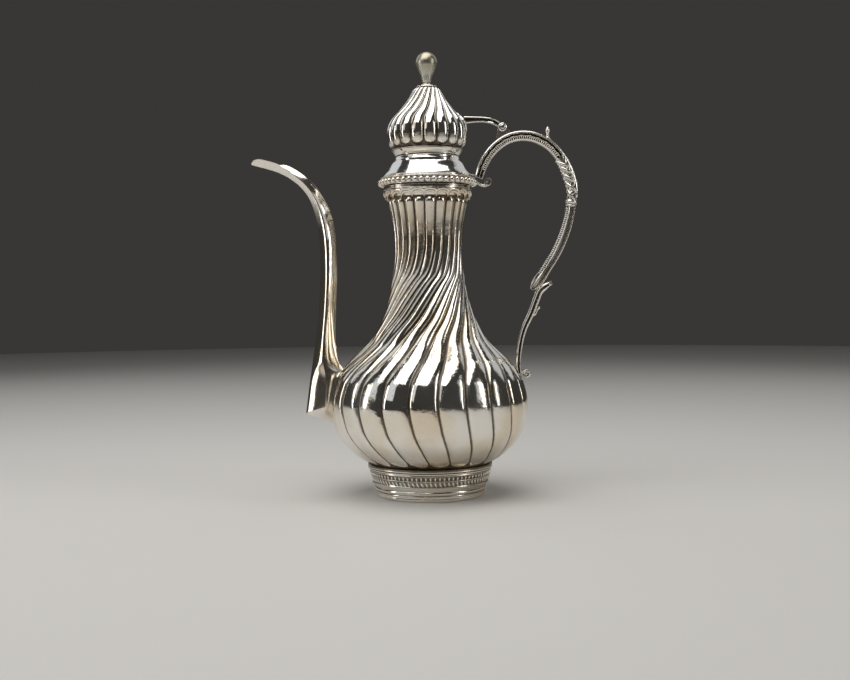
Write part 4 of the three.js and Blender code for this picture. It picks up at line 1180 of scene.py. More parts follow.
@dataclass
class Foot:
    """The reeded foot: a drum, two grooved rings, the reeded band and the plain moulding."""

    reeds: Tree
    reed_count: int = 84
    wall: float = 2.4
    drum: Box = field(default_factory=lambda: Box.of("foot_drum"))
    base: Box = field(default_factory=lambda: Box.of("foot_base_moulding"))
    band: Box = field(default_factory=lambda: Box.of("foot_reeded_band"))
    top: Box = field(default_factory=lambda: Box.of("foot_top_moulding"))
    base_r: float = 40.9

    def side(self, z: float) -> float:
        """Gives the radius over the mouldings at a height."""
        return self.base_r + (self.top.radius - self.base_r) * z / self.top.top

    def dress_drum(self, finishes: Finishes) -> None:
        """Builds the drum, whose rounded lower edge stands on the table."""
        low, high = self.base.bottom, self.drum.top
        inner = self.base_r - self.wall
        outline = [
            (inner, 0.3), (inner + 0.3, 0.0), (self.base_r - 1.2, 0.0), (self.base_r - 0.7, 0.12),
            (self.base_r - 0.25, 0.45), (self.base_r, 1.0), (self.base_r - 0.05, 2.2),
            (self.base_r - 0.35, 3.2),
            (self.side(low) - 1.1, low - 0.4), (self.side(low) - 1.3, low),
            (self.side(high) - 1.3, high - 0.3),
            (self.side(high) - 1.6, high), (self.side(high) - 3.4, high), (self.side(high) - 3.7, high - 0.3),
            (inner - 0.6, low), (inner, 0.3),
        ]
        fit(turned("foot_drum_ring", outline), finishes.polished, Body.POT, Slot.SILVER, "foot_drum")

    def dress_base(self, finishes: Finishes) -> None:
        """Builds the convex moulding and the plain ledge above it."""
        low, high = self.base.bottom, self.base.top
        seat = self.side(low) - 1.0
        swell = arc((self.side(low) - 1.7, low + 1.75), 1.75, -75, 70, 12)
        outline = [
            (seat, low), *swell, (self.side(low + 3.6) - 1.0, low + 3.55),
            (self.side(low + 3.6) - 0.95, low + 3.8),
            (self.side(high) + 0.1, high - 0.7), (self.side(high) + 0.2, high - 0.2), (self.side(high), high),
            (self.side(high) - 1.1, high), (seat, low),
        ]
        fit(turned("foot_plain_moulding", outline), finishes.polished, Body.POT, Slot.SILVER,
            "foot_base_moulding")

    def dress_band(self, finishes: Finishes) -> None:
        """Builds the band with its two rows of reeds and the bead between them."""
        low, high = self.band.bottom, self.band.top
        middle = low + (high - low) * 0.52
        outline = [
            (self.side(low) - 1.0, low), (self.side(low) + 0.2, low), (self.side(low) + 0.35, low + 0.35),
            (self.side(low) + 0.2, low + 0.7), (self.side(low) - 0.35, low + 0.95),
            (self.side(middle) - 0.25, middle - 0.3),
            *arc((self.side(middle) - 0.1, middle), 0.3, -70, 70, 6),
            (self.side(middle) - 0.25, middle + 0.3), (self.side(high) - 0.75, high - 0.8),
            (self.side(high) - 0.1, high - 0.7), (self.side(high) + 0.05, high - 0.35),
            (self.side(high) - 0.1, high),
            (self.side(high) - 1.0, high), (self.side(low) - 1.0, low),
        ]
        back = turned("band", outline)
        radius = np.linalg.norm(places(back)[:, :2], axis=1)
        height = places(back)[:, 2]
        # The band's back between the reeds is marked hollow, which darkens it: painted shade between the reeds,
        # partly oxide.
        store(back, "hollow", 0.7 * smoothstep(0.1, -0.3, radius - self.base_r - (self.top.radius
            - self.base_r) * height / self.top.top))
        parts = [back]
        rows = (
            ((low + 0.7 + middle) / 2, middle - low - 1.0, 1.5, 0.12),
            ((middle + high - 0.7) / 2, high - middle - 1.3, 0.0, 0.0),
        )
        for z, height, hook, drop in rows:
            stand = bpy.data.objects.new("reeds", bpy.data.meshes.new("reeds"))
            bpy.context.scene.collection.objects.link(stand)
            parts.append(self.reeds.bake(
                stand, Count=self.reed_count, Band_Radius=(self.side(z) - 0.3 - drop) * MM,
                    Height=height * MM,
                Thickness=0.78 * MM, Hook=hook * MM, Lean=(self.side(high) - self.side(low)) * 0.4 * MM,
                Centre=(AXIS_X * MM, 0.0, z * MM),
            ))
        fit(join("foot_reeds", parts), finishes.polished, Body.POT, Slot.SILVER, "foot_reeded_band")

    def dress_top(self, finishes: Finishes) -> None:
        """Builds the two bright rings with the deep grooves between and above them."""
        low, high = self.top.bottom, self.top.top
        r = self.top.radius
        outline = [
            (r - 1.9, low), (r - 0.75, low), (r - 0.35, low + 0.25), (r - 0.3, low + 0.7),
            (r - 0.7, low + 1.0),
            (r - 1.35, low + 1.05), (r - 1.35, low + 1.55), *arc((r - 0.65, low + 2.05), 0.6, -80, 80, 8),
            (r - 1.4, low + 2.6), (r - 1.4, low + 3.1), (r - 0.5, low + 3.15), (r - 0.25, high - 0.25),
            (r - 0.5, high), (r - 1.9, high), (r - 1.9, low),
        ]
        fit(turned("foot_top_rings", outline, crisp=50), finishes.polished, Body.POT, Slot.SILVER,
            "foot_top_moulding")

    def dress(self, finishes: Finishes) -> None:
        """Builds and fits every piece of the foot."""
        self.dress_drum(finishes)
        self.dress_base(finishes)
        self.dress_band(finishes)
        self.dress_top(finishes)


@dataclass
class Mouth:
    """The top of the neck: scalloped collar, dark band, flange and beads."""

    vessel: Vessel
    beads: Tree
    bead_count: int = 48
    bead_r: float = 2.2
    arch: float = 3.4
    droop: float = 2.0
    collar: Box = field(default_factory=lambda: Box.of("neck_collar"))
    band: Box = field(default_factory=lambda: Box.of("mouth_band"))
    flange: Box = field(default_factory=lambda: Box.of("mouth_flange"))
    ring: Box = field(default_factory=lambda: Box.of("bead_ring"))

    def dress_collar(self, finishes: Finishes) -> None:
        """Builds the collar, whose lower edge arches over each flute."""
        lobes, per = self.vessel.lobes, 16
        angle = np.arange(lobes * per) * 2 * math.pi / (lobes * per)
        turn = math.radians(float(self.vessel.twist(self.vessel.neck_top)) + self.vessel.phase)
        off = np.abs(((angle * lobes / (2 * math.pi)) + 0.5) % 1 - 0.5) * 2
        edge = self.collar.bottom - self.droop + self.arch * np.sqrt(np.maximum(1 - off**2.2, 0))
        top, full = self.collar.top, self.collar.radius
        bore = self.vessel.lining_r - 0.2
        shape = through([(0, 31.3), (0.25, 31.9), (0.55, full - 0.35), (0.8, full), (0.95, full - 0.1),
            (1, full - 0.5)])
        seat = float(self.vessel.radius(self.vessel.neck_top)) - self.vessel.neck_depth - 0.2

        def ring(radius: np.ndarray | float, height: np.ndarray | float) -> np.ndarray:
            """Gives one ring of the collar."""
            r = np.broadcast_to(radius, angle.shape)
            z = np.broadcast_to(height, angle.shape)
            return np.stack([r * np.cos(angle + turn), r * np.sin(angle + turn), z], axis=1)

        rows = [ring(seat, edge + 0.5), ring(31.05, edge + 0.1), ring(31.25, edge)]
        for share in np.linspace(0.06, 1, 16):
            height = edge + (top - edge) * share
            line = 0.16 * np.exp(-(((height - edge - 1.5) / 0.35) ** 2))
            rows.append(ring(shape(share) - line, height))
        rows += [ring(bore, top), ring(bore, self.collar.bottom + 2)]
        points, faces = skin(rows, ring=True)
        made = solid("neck_scallops", points, faces, 60)
        at = places(made)
        spread = ((np.arctan2(at[:, 1], at[:, 0]) - turn) * lobes / (2 * math.pi) + 0.5) % 1 - 0.5
        lower = self.collar.bottom - self.droop + self.arch * np.sqrt(np.maximum(1
            - np.abs(spread * 2) ** 2.2, 0))
        # The collar's overhanging lower edge and its engraved line are marked hollow, which darkens them:
        # painted shade, partly oxide.
        store(made, "hollow", np.maximum(smoothstep(0.5, 0.1, at[:, 2] - lower), np.exp(-(((at[:, 2] - lower
            - 1.6) / 0.4) ** 2)) * 0.7))
        fit(made, finishes.polished, Body.POT, Slot.SILVER, "neck_collar")

    def dress_band(self, finishes: Finishes) -> None:
        """Builds the plain dark band."""
        low, high, r = self.band.bottom, self.band.top, self.band.radius
        bore = self.vessel.lining_r + 0.1
        outline = [(bore, low), (r - 0.4, low), (r - 0.1, low + 0.3), (r - 0.25, (low + high) / 2),
                   (r - 0.1, high - 0.3), (r - 0.4, high), (bore, high), (bore, low)]
        fit(turned("mouth_dark_band", outline), finishes.oxidised, Body.POT, Slot.DARK, "mouth_band")

    def dress_flange(self, finishes: Finishes) -> None:
        """Builds the flange with its thin rounded lip."""
        low, high, r = self.flange.bottom, self.flange.top, self.flange.radius
        lip, bore = high - 1.2, self.vessel.lining_r - 1.4
        stem = self.ring.radius - 2 * self.bead_r - 0.2
        outline = [
            (bore, low + 0.2), (bore + 0.2, low), (stem, low), (stem + 0.5, lip - 0.4), (r - 0.6, lip - 0.1),
            *arc((r - 0.6, (lip + high) / 2), 0.6, -80, 80, 8), (r - 1.5, high), (bore + 0.4, high),
            (bore, high - 0.4), (bore, low + 0.2),
        ]
        fit(turned("mouth_lip", outline), finishes.polished, Body.POT, Slot.SILVER, "mouth_flange")

    def dress_beads(self, finishes: Finishes) -> None:
        """Builds the ring of beads under the lip."""
        stand = bpy.data.objects.new("mouth_beads", bpy.data.meshes.new("mouth_beads"))
        bpy.context.scene.collection.objects.link(stand)
        made = self.beads.bake(
            stand, Count=self.bead_count, Ring_Radius=(self.ring.radius - self.bead_r) * MM,
            Bead_Radius=self.bead_r * MM, Wire_Radius=1.1 * MM,
            Centre=(AXIS_X * MM, 0.0, float(self.ring.middle[2]) * MM),
        )
        fit(made, finishes.polished, Body.POT, Slot.SILVER, "bead_ring")

    def dress(self, finishes: Finishes) -> None:
        """Builds and fits every piece of the mouth."""
        self.dress_collar(finishes)
        self.dress_band(finishes)
        self.dress_flange(finishes)
        self.dress_beads(finishes)


@dataclass
class Spout:
    """The swan-neck spout: a rhombic tube with a keeled heel and an open lip.

    Each station holds the outer edge, the inner edge, half the width, how far the side ridges lie
    from the outer edge, and how far the top is open for the lip.
    """

    vessel: Vessel
    wall: float = 1.2
    steps: int = 190
    around: int = 44
    stations: tuple[tuple[float, ...], ...] = (
        (-93, 60.8, -58, 49.5, 0.4, 0.43, 0), (-92.9, 61.6, -58, 72, 9.5, 0.43, 0),
        (-89.6, 86, -58, 88, 8.8, 0.4, 0), (-87.5, 99.5, -67, 98.5, 8.2, 0.43, 0),
        (-85.1, 116, -70, 115, 7.4, 0.43, 0), (-82.2, 141, -69.3, 141, 6.6, 0.43, 0),
        (-80.7, 168, -68.2, 168, 6.2, 0.43, 0), (-81.3, 192, -68.8, 194, 6.0, 0.43, 0),
        (-84, 209, -72.6, 211.5, 5.5, 0.43, 0), (-88.4, 222, -79.6, 225.4, 4.9, 0.43, 0),
        (-94.6, 230.6, -88.6, 236.8, 4.4, 0.43, 0), (-102.8, 237.2, -98.6, 244.3, 4.3, 0.45, 0),
        (-109.6, 240.9, -106.6, 248.4, 4.4, 0.6, 0), (-114.4, 242.8, -112.4, 249.2, 4.5, 0.86, 0.8),
        (-119.6, 244.4, -118, 250.4, 4.5, 0.92, 1), (-125.6, 246, -125.2, 251.9, 4.0, 0.92, 1),
        (-129.4, 247.1, -129.2, 250.9, 2.6, 0.9, 1), (-131.2, 247.7, -131.1, 248.8, 0.9, 0.8, 1),
    )

    def sections(self, bore: bool) -> np.ndarray:
        """Gives the sections of the outside, or of the bore.

        Args:
            bore: Whether the bore is wanted.

        Returns:
            The sections, from heel to lip.
        """
        table = np.array(self.stations)
        last = len(table) - 1
        outer_line, inner_line = Line(table[:, 0:2]), Line(table[:, 2:4])
        half, ridge, opening = (through(list(enumerate(table[:, k]))) for k in (4, 5, 6))
        steps = self.steps // 2 if bore else self.steps
        around = self.around // 2 if bore else self.around
        angle = np.arange(around) * 2 * math.pi / around
        power = 1.5 if bore else 1.72
        reach = np.abs(np.cos(angle)) ** power
        sweep = np.sign(np.sin(angle)) * np.abs(np.sin(angle)) ** power
        made = []
        for place in np.linspace(0, last, steps + 1):
            outer, inner = outer_line.at(place), inner_line.at(place)
            up = (inner - outer) / np.linalg.norm(inner - outer)
            side = outer + (inner - outer) * ridge(place)
            width = float(half(place))
            if bore:
                outer = outer + up * self.wall * 1.2
                inner = inner + up * (-self.wall * 1.2 * (1 - opening(place)) + 4 * opening(place))
                side = side + up * 2.5 * opening(place)
                width = max(width - self.wall, 0.12)
            edge = np.where(np.cos(angle)[:, None] > 0, outer, inner)
            section = side + (edge - side) * reach[:, None]
            section[:, 1] = sweep * width
            made.append(section)
        return np.array(made)

    def dress(self, finishes: Finishes) -> None:
        """Builds the spout, bores it, and trims its root to the belly's wall."""
        piece = loft("swan_spout", self.sections(bore=False), 30)
        carve(piece, loft("bore", self.sections(bore=True)), 30)
        carve(piece, self.vessel.core(), 30)
        fit(piece, finishes.mirror, Body.POT, Slot.SILVER, "spout")


# Half sections of the grip, from its inner edge to its outer one: how far out, and how wide.
ARCH_SECTION = [(-1.0, 0.30), (-0.98, 0.55), (-0.90, 0.76), (-0.74, 0.82), (-0.62, 0.72), (-0.54, 0.58),
    (-0.22, 0.58),
                (-0.15, 0.72), (-0.05, 0.80), (0.05, 0.72), (0.12, 0.52), (0.24, 0.46), (0.36, 0.52),
                (0.46, 0.86),
                (0.58, 0.98), (0.72, 1.0), (0.86, 0.92), (0.96, 0.68), (1.0, 0.34)]
BACK_SECTION = [(-1.0, 0.26), (-0.98, 0.44), (-0.92, 0.56), (-0.84, 0.58), (-0.70, 0.58), (-0.56, 0.60),
    (-0.44, 0.70),
                (-0.34, 0.76), (-0.24, 0.70), (-0.16, 0.52), (0.0, 0.44), (0.2, 0.42), (0.40, 0.46),
                (0.52, 0.84),
                (0.62, 0.96), (0.74, 1.0), (0.86, 0.92), (0.96, 0.68), (1.0, 0.34)]


def mirrored(half: np.ndarray) -> np.ndarray:
    """Closes half sections into whole ones."""
    other = half[:, ::-1] * [1.0, -1.0]
    return np.concatenate([half, other], axis=1)


@dataclass
class Handle:
    """The cast handle: grip, leafwork, teeth, lower strap, scrolls and the hinge's lug."""

    teeth: Tree
    grip_t: float = 7.4
    grip_w: float = 8.0
    proud: float = 1.3
    wrap: tuple[float, float] = (0.43, 0.6)
    collar: tuple[float, float] = (0.612, 0.632)
    strap_t: float = 5.6
    strap_end_t: float = 3.4
    strap_w: float = 6.6
    scroll_r: float = 3.7
    scroll_w: float = 7.2
    lug_w: float = 2.6
    knuckle_r: float = 3.4
    root: tuple[float, float] = field(default_factory=lambda: (
        Box.of("mouth_flange").radius + 2.7, Box.of("mouth_flange").top + 0.6))
    swing: float = 1.0
    end_x: float = field(default_factory=lambda: float(Box.of("handle_strap").low[0]) + 1.7)
    end_z: float = 91.5

    def __post_init__(self) -> None:
        """Lays the two lines that the handle follows."""
        arch = [(0, -0.4), (3.4, 9.2), (9.1, 18.3), (16.3, 24.9), (23.7, 28.8), (31.7, 30.3), (39.7, 29.6),
                (46.4, 27.1), (52.7, 23.2), (59, 16.5), (64.3, 8.4)]
        back = [(67.7, 1), (67.9, 0.93), (65.6, 0.883), (61.4, 0.794), (54.4, 0.698), (46.3, 0.612),
            (36.8, 0.531),
                (26.3, 0.45), (21.9, 0.424)]
        lower = [(36.4, 0.452), (28.3, 0.416), (24.1, 0.372), (18.1, 0.301), (9.8, 0.214), (4.3, 0.127),
            (0.6, 0.034),
                 (0, -0.01)]
        self.grip = Line([
            *((self.root[0] + out * self.swing, self.root[1] + up) for out, up in arch),
            *(self.beside(*pair) for pair in back),
        ])
        self.strap = Line([self.beside(*pair) for pair in lower])

    def beside(self, out: float, rise: float) -> tuple[float, float]:
        """Gives a point by its distance out from the line between root and lower joint, and its share up it."""
        x = self.end_x + (self.root[0] - self.end_x) * rise + out * self.swing
        return x, self.end_z + (self.root[1] - self.end_z) * rise

    def dress_grip(self, finishes: Finishes) -> None:
        """Builds the ribbed grip, with its waving rib, leaf end and milled teeth."""
        shares = np.linspace(0, 1, 340)
        thick = through([(0, 0.85), (0.06, 1), (0.8, 1), (0.9, 0.92), (0.955, 1.12), (0.985, 0.85), (1, 0.3)])
        wide = through([(0, 0.9), (0.05, 1), (0.86, 1), (0.95, 1.12), (1, 0.4)])
        change = smoothstep(0.55, 0.62, shares)[:, None, None]
        half = np.array(ARCH_SECTION) * (1 - change) + np.array(BACK_SECTION) * change
        wave = 0.045 * np.sin(shares * self.grip.length * 2 * math.pi / 6.5) * (1 - change[:, 0, 0])
        half[:, 7:10, 0] += wave[:, None]
        half[:, :, 0] *= (self.grip_t * thick(shares) / 2)[:, None]
        half[:, :, 1] *= (self.grip_w * wide(shares) / 2)[:, None]
        bar = loft("grip_bar", bent(self.grip, shares, mirrored(half)), 32)
        fit(join("handle_bar", [bar, self.milled_teeth()]), finishes.cast, Body.POT, Slot.DARK, "handle_grip")

    def milled_teeth(self) -> bpy.types.Object:
        """Gives the teeth milled along both sides of the grip's inner edge."""
        points, edges = [], []
        runs = ((0.035, 0.42, -0.38, 0.62), (0.645, 0.93, -0.76, 0.6))
        for start, end, out, side in runs:
            shares = np.linspace(start, end, 80)
            for y in (-side, side):
                outline = np.full((len(shares), 1, 2), (out * self.grip_t / 2, y * self.grip_w / 2))
                row = bent(self.grip, shares, outline)[:, 0]
                first = len(points)
                points.extend(row)
                edges.extend((first + k, first + k + 1) for k in range(len(row) - 1))
        mesh = bpy.data.meshes.new("teeth")
        mesh.from_pydata(((np.array(points) + [AXIS_X, 0, 0]) * MM).tolist(), edges, [])
        rows = bpy.data.objects.new("teeth", mesh)
        bpy.context.scene.collection.objects.link(rows)
        return self.teeth.bake(rows, Pitch=1.55 * MM, Tooth=(0.52 * MM, 0.78 * MM, 0.95 * MM))

    def dress_wrap(self, finishes: Finishes) -> None:
        """Builds the leaf knot: a husk with long blades that curl on the inner side and sweep round it."""
        t = np.linspace(0, 1, 120)
        shares = self.wrap[0] + (self.wrap[1] - self.wrap[0]) * t
        swell = self.proud * (0.15 + 0.35 * np.abs(np.sin(3.5 * math.pi * t)) ** 0.7) * np.sin(math.pi
            * (t * 0.94 + 0.03)) ** 0.4
        outlines = oval(self.grip_t + 2 * swell, self.grip_w + 2 * swell, 40)
        around = np.arange(40) * 2 * math.pi / 40
        flute = np.abs(np.sin(2.5 * around[None] + 5.5 * math.pi * t[:, None])) ** 0.6
        outlines *= (1 - 0.16 * (1 - flute))[:, :, None]
        parts = [loft("wrap", bent(self.grip, shares, outlines), 45)]
        for share, size in ((0.436, 0.9), (0.462, 1.15), (0.496, 1.2), (0.532, 1.0), (0.566, 0.75)):
            parts.append(self.leaf_tip(share, size * 0.9))
            parts += [self.blade(share, size, side) for side in (-1, 1)]
        fit(join("handle_leaf_knot", parts), finishes.cast, Body.POT, Slot.DARK, "grip_leaf_wrap")

    def blade(self, share: float, size: float, side: int) -> bpy.types.Object:
        """Gives a leaf blade that sweeps from the grip's inner side round to its outer side.

        Args:
            share: Where it springs from, as a share of the grip's length.
            size: Its breadth, 1 being the common one.
            side: 1 or -1 for the side of the grip that it crosses.

        Returns:
            The blade.
        """
        t = np.linspace(0, 1, 40)
        at, _, across = self.grip.walk(share + 0.062 * t**0.85)
        turn = math.pi * (0.06 + 0.86 * t)
        far, level = (self.grip_t / 2 + 0.45) * -np.cos(turn), (self.grip_w / 2 + 0.35) * np.sin(turn) * side
        path = at + across * far[:, None] + np.array([0.0, 1.0, 0.0]) * level[:, None]
        ahead = np.gradient(path, axis=0)
        ahead /= np.linalg.norm(ahead, axis=1, keepdims=True)
        out = path - at
        out -= ahead * (out * ahead).sum(axis=1, keepdims=True)
        out /= np.linalg.norm(out, axis=1, keepdims=True)
        wide = through([(0, 0.9), (0.25, 1.25), (0.7, 0.8), (1, 0.2)])(t) * size
        fat = through([(0, 0.8), (0.3, 0.85), (0.8, 0.5), (1, 0.15)])(t) * size
        angle = (np.arange(12) + 0.5) * math.pi / 6
        broad = np.cross(ahead, out)
        sections = path[:, None] + out[:, None] * (fat[:, None] * np.sin(angle))[:, :, None]
        sections += broad[:, None] * (wide[:, None] * np.cos(angle))[:, :, None]
        return loft("blade", sections, 60)

    def leaf_tip(self, share: float, size: float) -> bpy.types.Object:
        """Gives a small leaf that curls off the grip's inner side.

        Args:
            share: Where it springs from, as a share of the grip's length.
            size: Its size, 1 being the largest but one.

        Returns:
            The leaf.
        """
        at, along, across = (v[0] for v in self.grip.walk(np.array([share])))
        inner = at - across * (self.grip_t / 2 - 0.4)
        steps = [(0.0, 0.0), (1.6, 0.9), (3.2, 1.3), (4.5, 0.9), (4.9, -0.1), (4.2, -0.6)]
        route = [inner + along * a * size - across * b * size for a, b in steps]
        line = Line([(p[0], p[2]) for p in route])
        t = np.linspace(0, 1, 24)
        fat = through([(0, 1.4), (0.35, 1.5), (0.75, 1.1), (1, 0.5)])
        wide = through([(0, 2.6), (0.4, 4.4), (0.75, 3.2), (1, 1.4)])
        return loft("leaf_tip", bent(line, t, oval(fat(t) * size, wide(t) * size, 14)), 60)

    def dress_collar(self, finishes: Finishes) -> None:
        """Builds the ring and bead below the leaf knot."""
        t = np.linspace(0, 1, 28)
        low, high = self.collar
        shares = low - 0.004 + (high - low + 0.008) * t
        swell = self.proud * np.maximum(np.sin(math.pi * np.clip(t / 0.68, 0, 1)),
            0.7 * np.sin(math.pi * np.clip((t - 0.66) / 0.34, 0, 1)))
        outlines = oval(self.grip_t * 0.9 + 1.6 * swell, self.grip_w * 0.9 + 1.6 * swell, 32)
        fit(loft("handle_ring", bent(self.grip, shares, outlines), 50), finishes.cast, Body.POT, Slot.DARK,
            "grip_ring")

    def dress_spur(self, finishes: Finishes) -> None:
        """Builds the drop-shaped bud that stands on the arch."""
        place = Box.of("grip_spur")
        low, high = place.bottom - 0.6, place.top
        rise = high - low
        outline = [(0, 0), (2.3, 0), (2.1, 0.10), (1.3, 0.19), (0.95, 0.30), (1.15, 0.36), (0.95, 0.42),
            (1.35, 0.52),
                   (1.6, 0.64), (1.4, 0.78), (0.85, 0.9), (0.3, 0.985), (0, 1)]
        shape = through([(k, r) for k, (r, _) in enumerate(outline)])
        heights = through([(k, z) for k, (_, z) in enumerate(outline)])
        fine = np.linspace(1, len(outline) - 1, 40)
        pairs = [(0.0, low), *((float(max(shape(k), 0.0)), low + rise * float(heights(k)))
            for k in fine[:-1]), (0.0, high)]
        bud = turned("handle_bud", pairs, around=24)
        bud.data.transform(shift(float(place.middle[0]), 0.0, 0.0))
        fit(bud, finishes.cast, Body.POT, Slot.DARK, "grip_spur")

    def dress_strap(self, finishes: Finishes) -> None:
        """Builds the lower strap, with its rolled head and its thorn."""
        shares = np.linspace(0, 1, 160)
        thick = through([(0, 0.6), (0.1, 1), (0.5, 0.85), (1, self.strap_end_t / self.strap_t)])
        half = np.array([(-1.0, 0.4), (-0.95, 0.72), (-0.8, 0.92), (-0.55, 1.0), (-0.3, 0.9), (-0.15, 0.66),
            (0.1, 0.6),
                         (0.3, 0.66), (0.42, 0.86), (0.6, 0.98), (0.8, 0.9), (0.95, 0.66), (1.0, 0.36)])
        half = np.repeat(half[None], len(shares), axis=0)
        half[:, :, 0] *= (self.strap_t * thick(shares) / 2)[:, None]
        half[:, :, 1] *= self.strap_w / 2
        strap = loft("strap", bent(self.strap, shares, mirrored(half)), 32)
        tip = self.strap.walk(np.array([0.0]))[0][0]
        head = self.volute(tip[0] + 0.2, tip[2] - 0.3, 2.5, self.strap_w, start=200, turns=-1.1)
        fit(join("lower_strap", [strap, head]), finishes.cast, Body.POT, Slot.DARK, "handle_strap")

        at, along, across = (v[0] for v in self.strap.walk(np.array([0.36])))
        place = Box.of("strap_thorn")
        end = np.array([place.high[0] - 0.6, 0.0, place.high[2] - 0.6])
        stem = Line([tuple(p[[0, 2]])
            for p in (at, at + across * 2.2 + along * 0.6, (at + across * 2.2 + end) / 2, end)])
        t = np.linspace(0, 1, 26)
        fat = through([(0, 3.4), (0.4, 2.4), (0.72, 1.5), (0.86, 2.2), (1, 0.5)])
        thorn = loft("strap_bud", bent(stem, t, oval(fat(t), fat(t) * 1.15, 16, 1.0)), 60)
        fit(thorn, finishes.cast, Body.POT, Slot.DARK, "strap_thorn")

    def volute(self, x: float, z: float, radius: float, width: float, start: float, turns: float,
               fat: float = 1.0) -> bpy.types.Object:
        """Gives a rolled scroll with a bead in its eye.

        Args:
            x: The X of its eye.
            z: The Z of its eye.
            radius: Its outer radius.
            width: Its width along Y.
            start: The angle of its outer end, in degrees.
            turns: Its turns, positive anticlockwise seen from behind.
            fat: How thick its band is, 1 being an open scroll.

        Returns:
            The scroll.
        """
        t = np.linspace(0, 1, 60)
        band = through([(0, 1.7), (0.3, 1.35), (0.8, 1.0), (1, 1.0)])
        angle = np.radians(start) + t * turns * 2 * math.pi
        reach = (radius - 0.8 * fat) * (1 - 0.62 * t**1.6)
        route = [(x + r * math.cos(a), z + r * math.sin(a)) for r, a in zip(reach[::5], angle[::5])]
        line = Line(route)
        spread = width * (1 - 0.12 * t)
        roll = loft("roll", bent(line, t, oval(band(t) * fat, spread, 16, 0.55)), 50)
        eye = turned("eye", [(0.0, -width / 2 - 0.5), (0.7, -width / 2 - 0.3), (0.95, -width / 2 + 0.3),
                             (0.95, width / 2 - 0.3), (0.7, width / 2 + 0.3), (0.0, width / 2 + 0.5)],
                             around=20)
        lay_at(eye, x, z)
        return join("volute", [roll, eye])

    def dress_scrolls(self, finishes: Finishes) -> None:
        """Builds the scroll under the root and the one at the lower joint."""
        low = Box.of("strap_scroll")
        foot = self.volute(low.middle[0], low.middle[2], self.scroll_r + 0.25, self.scroll_w, start=165,
            turns=-1.3, fat=1.45)
        fit(foot, finishes.cast, Body.POT, Slot.DARK, "strap_scroll")
        top = Box.of("root_scroll")
        x, z = top.high[0] - self.scroll_r, top.high[2] - self.scroll_r
        curl = self.volute(x, z, self.scroll_r, self.scroll_w, start=215, turns=1.2)
        link = Line([(x - 7.5, z - 0.6), (x - 5.0, z - 2.4), (x - 2.6, z - 3.1), (x - 0.4, z - 3.0)])
        t = np.linspace(0, 1, 20)
        tongue = loft("tongue", bent(link, t, oval(1.8 + 0 * t, self.scroll_w * (0.7 + 0.3 * t), 16, 0.55)),
            50)
        fit(join("root_volute", [curl, tongue]), finishes.cast, Body.POT, Slot.DARK, "root_scroll")

    def dress_leaf(self, finishes: Finishes) -> None:
        """Builds the tongue that laps round the flange under the root."""
        place = Box.of("root_leaf")
        spread = math.radians(34)
        inside, outside = 34.1, 37.2
        angles = np.linspace(-spread, spread, 60)
        share = np.abs(angles) / spread
        outer = inside + 0.5 + (outside - inside - 0.5) * np.sqrt(np.maximum(1 - share**2.4, 0.0))
        height = (place.top - place.bottom) * (0.4 + 0.6 * np.sqrt(np.maximum(1 - share**2, 0.0)))
        sections = []
        for angle, far, tall in zip(angles, outer, height):
            round_ = np.linspace(0, 2 * math.pi, 17)[:-1]
            r = (inside + far) / 2 + (far - inside) / 2 * np.cos(round_)
            z = place.bottom + tall * (0.5 + 0.5 * np.sin(round_) * (1 - 0.25 * np.abs(np.cos(3 * round_))))
            sections.append(np.stack([r * math.cos(angle), r * math.sin(angle), z], axis=1))
        fit(loft("root_tongue", np.array(sections), 45), finishes.cast, Body.POT, Slot.DARK, "root_leaf")

    def dress_hinge(self, finishes: Finishes) -> None:
        """Builds the lug on the grip and the pin through it."""
        pin = Box.of("hinge_pin")
        x, z = pin.middle[0], pin.middle[2]
        place = Box.of("hinge_lug")
        k = self.knuckle_r
        side = [(-k - 0.9, place.bottom - z - 0.4), (-k + 0.1, -0.4), *arc((0.0, 0.0), k - 0.15, 175, 5, 14),
                (k + 0.3, -1.4), (k + 2.2, -2.6), (k + 4.6, place.bottom - z + 1.2),
                (k + 3.6, place.bottom - z - 0.8)]
        rows = np.array([[(x + a, y, z + b) for a, b in side] for y in (-self.lug_w / 2, self.lug_w / 2)])
        lug = loft("hinge_lug_plate", rows, 40)
        soften(lug, 0.35)
        fit(lug, finishes.cast, Body.POT, Slot.DARK, "hinge_lug")
        half = (pin.high[1] - pin.low[1]) / 2
        head = [(0.0, half), (0.8, half - 0.05), (1.45, half - 0.2), (1.75, half - 0.42), (1.75, half - 0.5),
            (1.1, half - 0.5)]
        outline = [*((r, -y) for r, y in head), *reversed(head)]
        rod = turned("hinge_rivet", outline, around=32)
        lay_at(rod, x, z)
        fit(rod, finishes.oxidised, Body.POT, Slot.DARK, "hinge_pin")

    def dress(self, finishes: Finishes) -> None:
        """Builds and fits every piece of the handle."""
        self.dress_grip(finishes)
        self.dress_wrap(finishes)
        self.dress_collar(finishes)
        self.dress_spur(finishes)
        self.dress_strap(finishes)
        self.dress_scrolls(finishes)
        self.dress_leaf(finishes)
        self.dress_hinge(finishes)


def shift(x: float, y: float, z: float) -> Matrix:
    """Gives a move, in millimetres."""
    return Matrix.Translation(Vector((x, y, z)) * MM)


def lay_at(piece: bpy.types.Object, x: float, z: float) -> None:
    """Lays an upright turned piece along Y and moves it to its place.

    Args:
        piece: The piece, turned about the pot's own axis.
        x: Its place along X from the pot's axis, in millimetres.
        z: Its height, in millimetres.
    """
    piece.data.transform(shift(-AXIS_X, 0.0, 0.0))
    piece.data.transform(Matrix.Rotation(math.pi / 2, 4, "X"))
    piece.data.transform(shift(x + AXIS_X, 0.0, z))


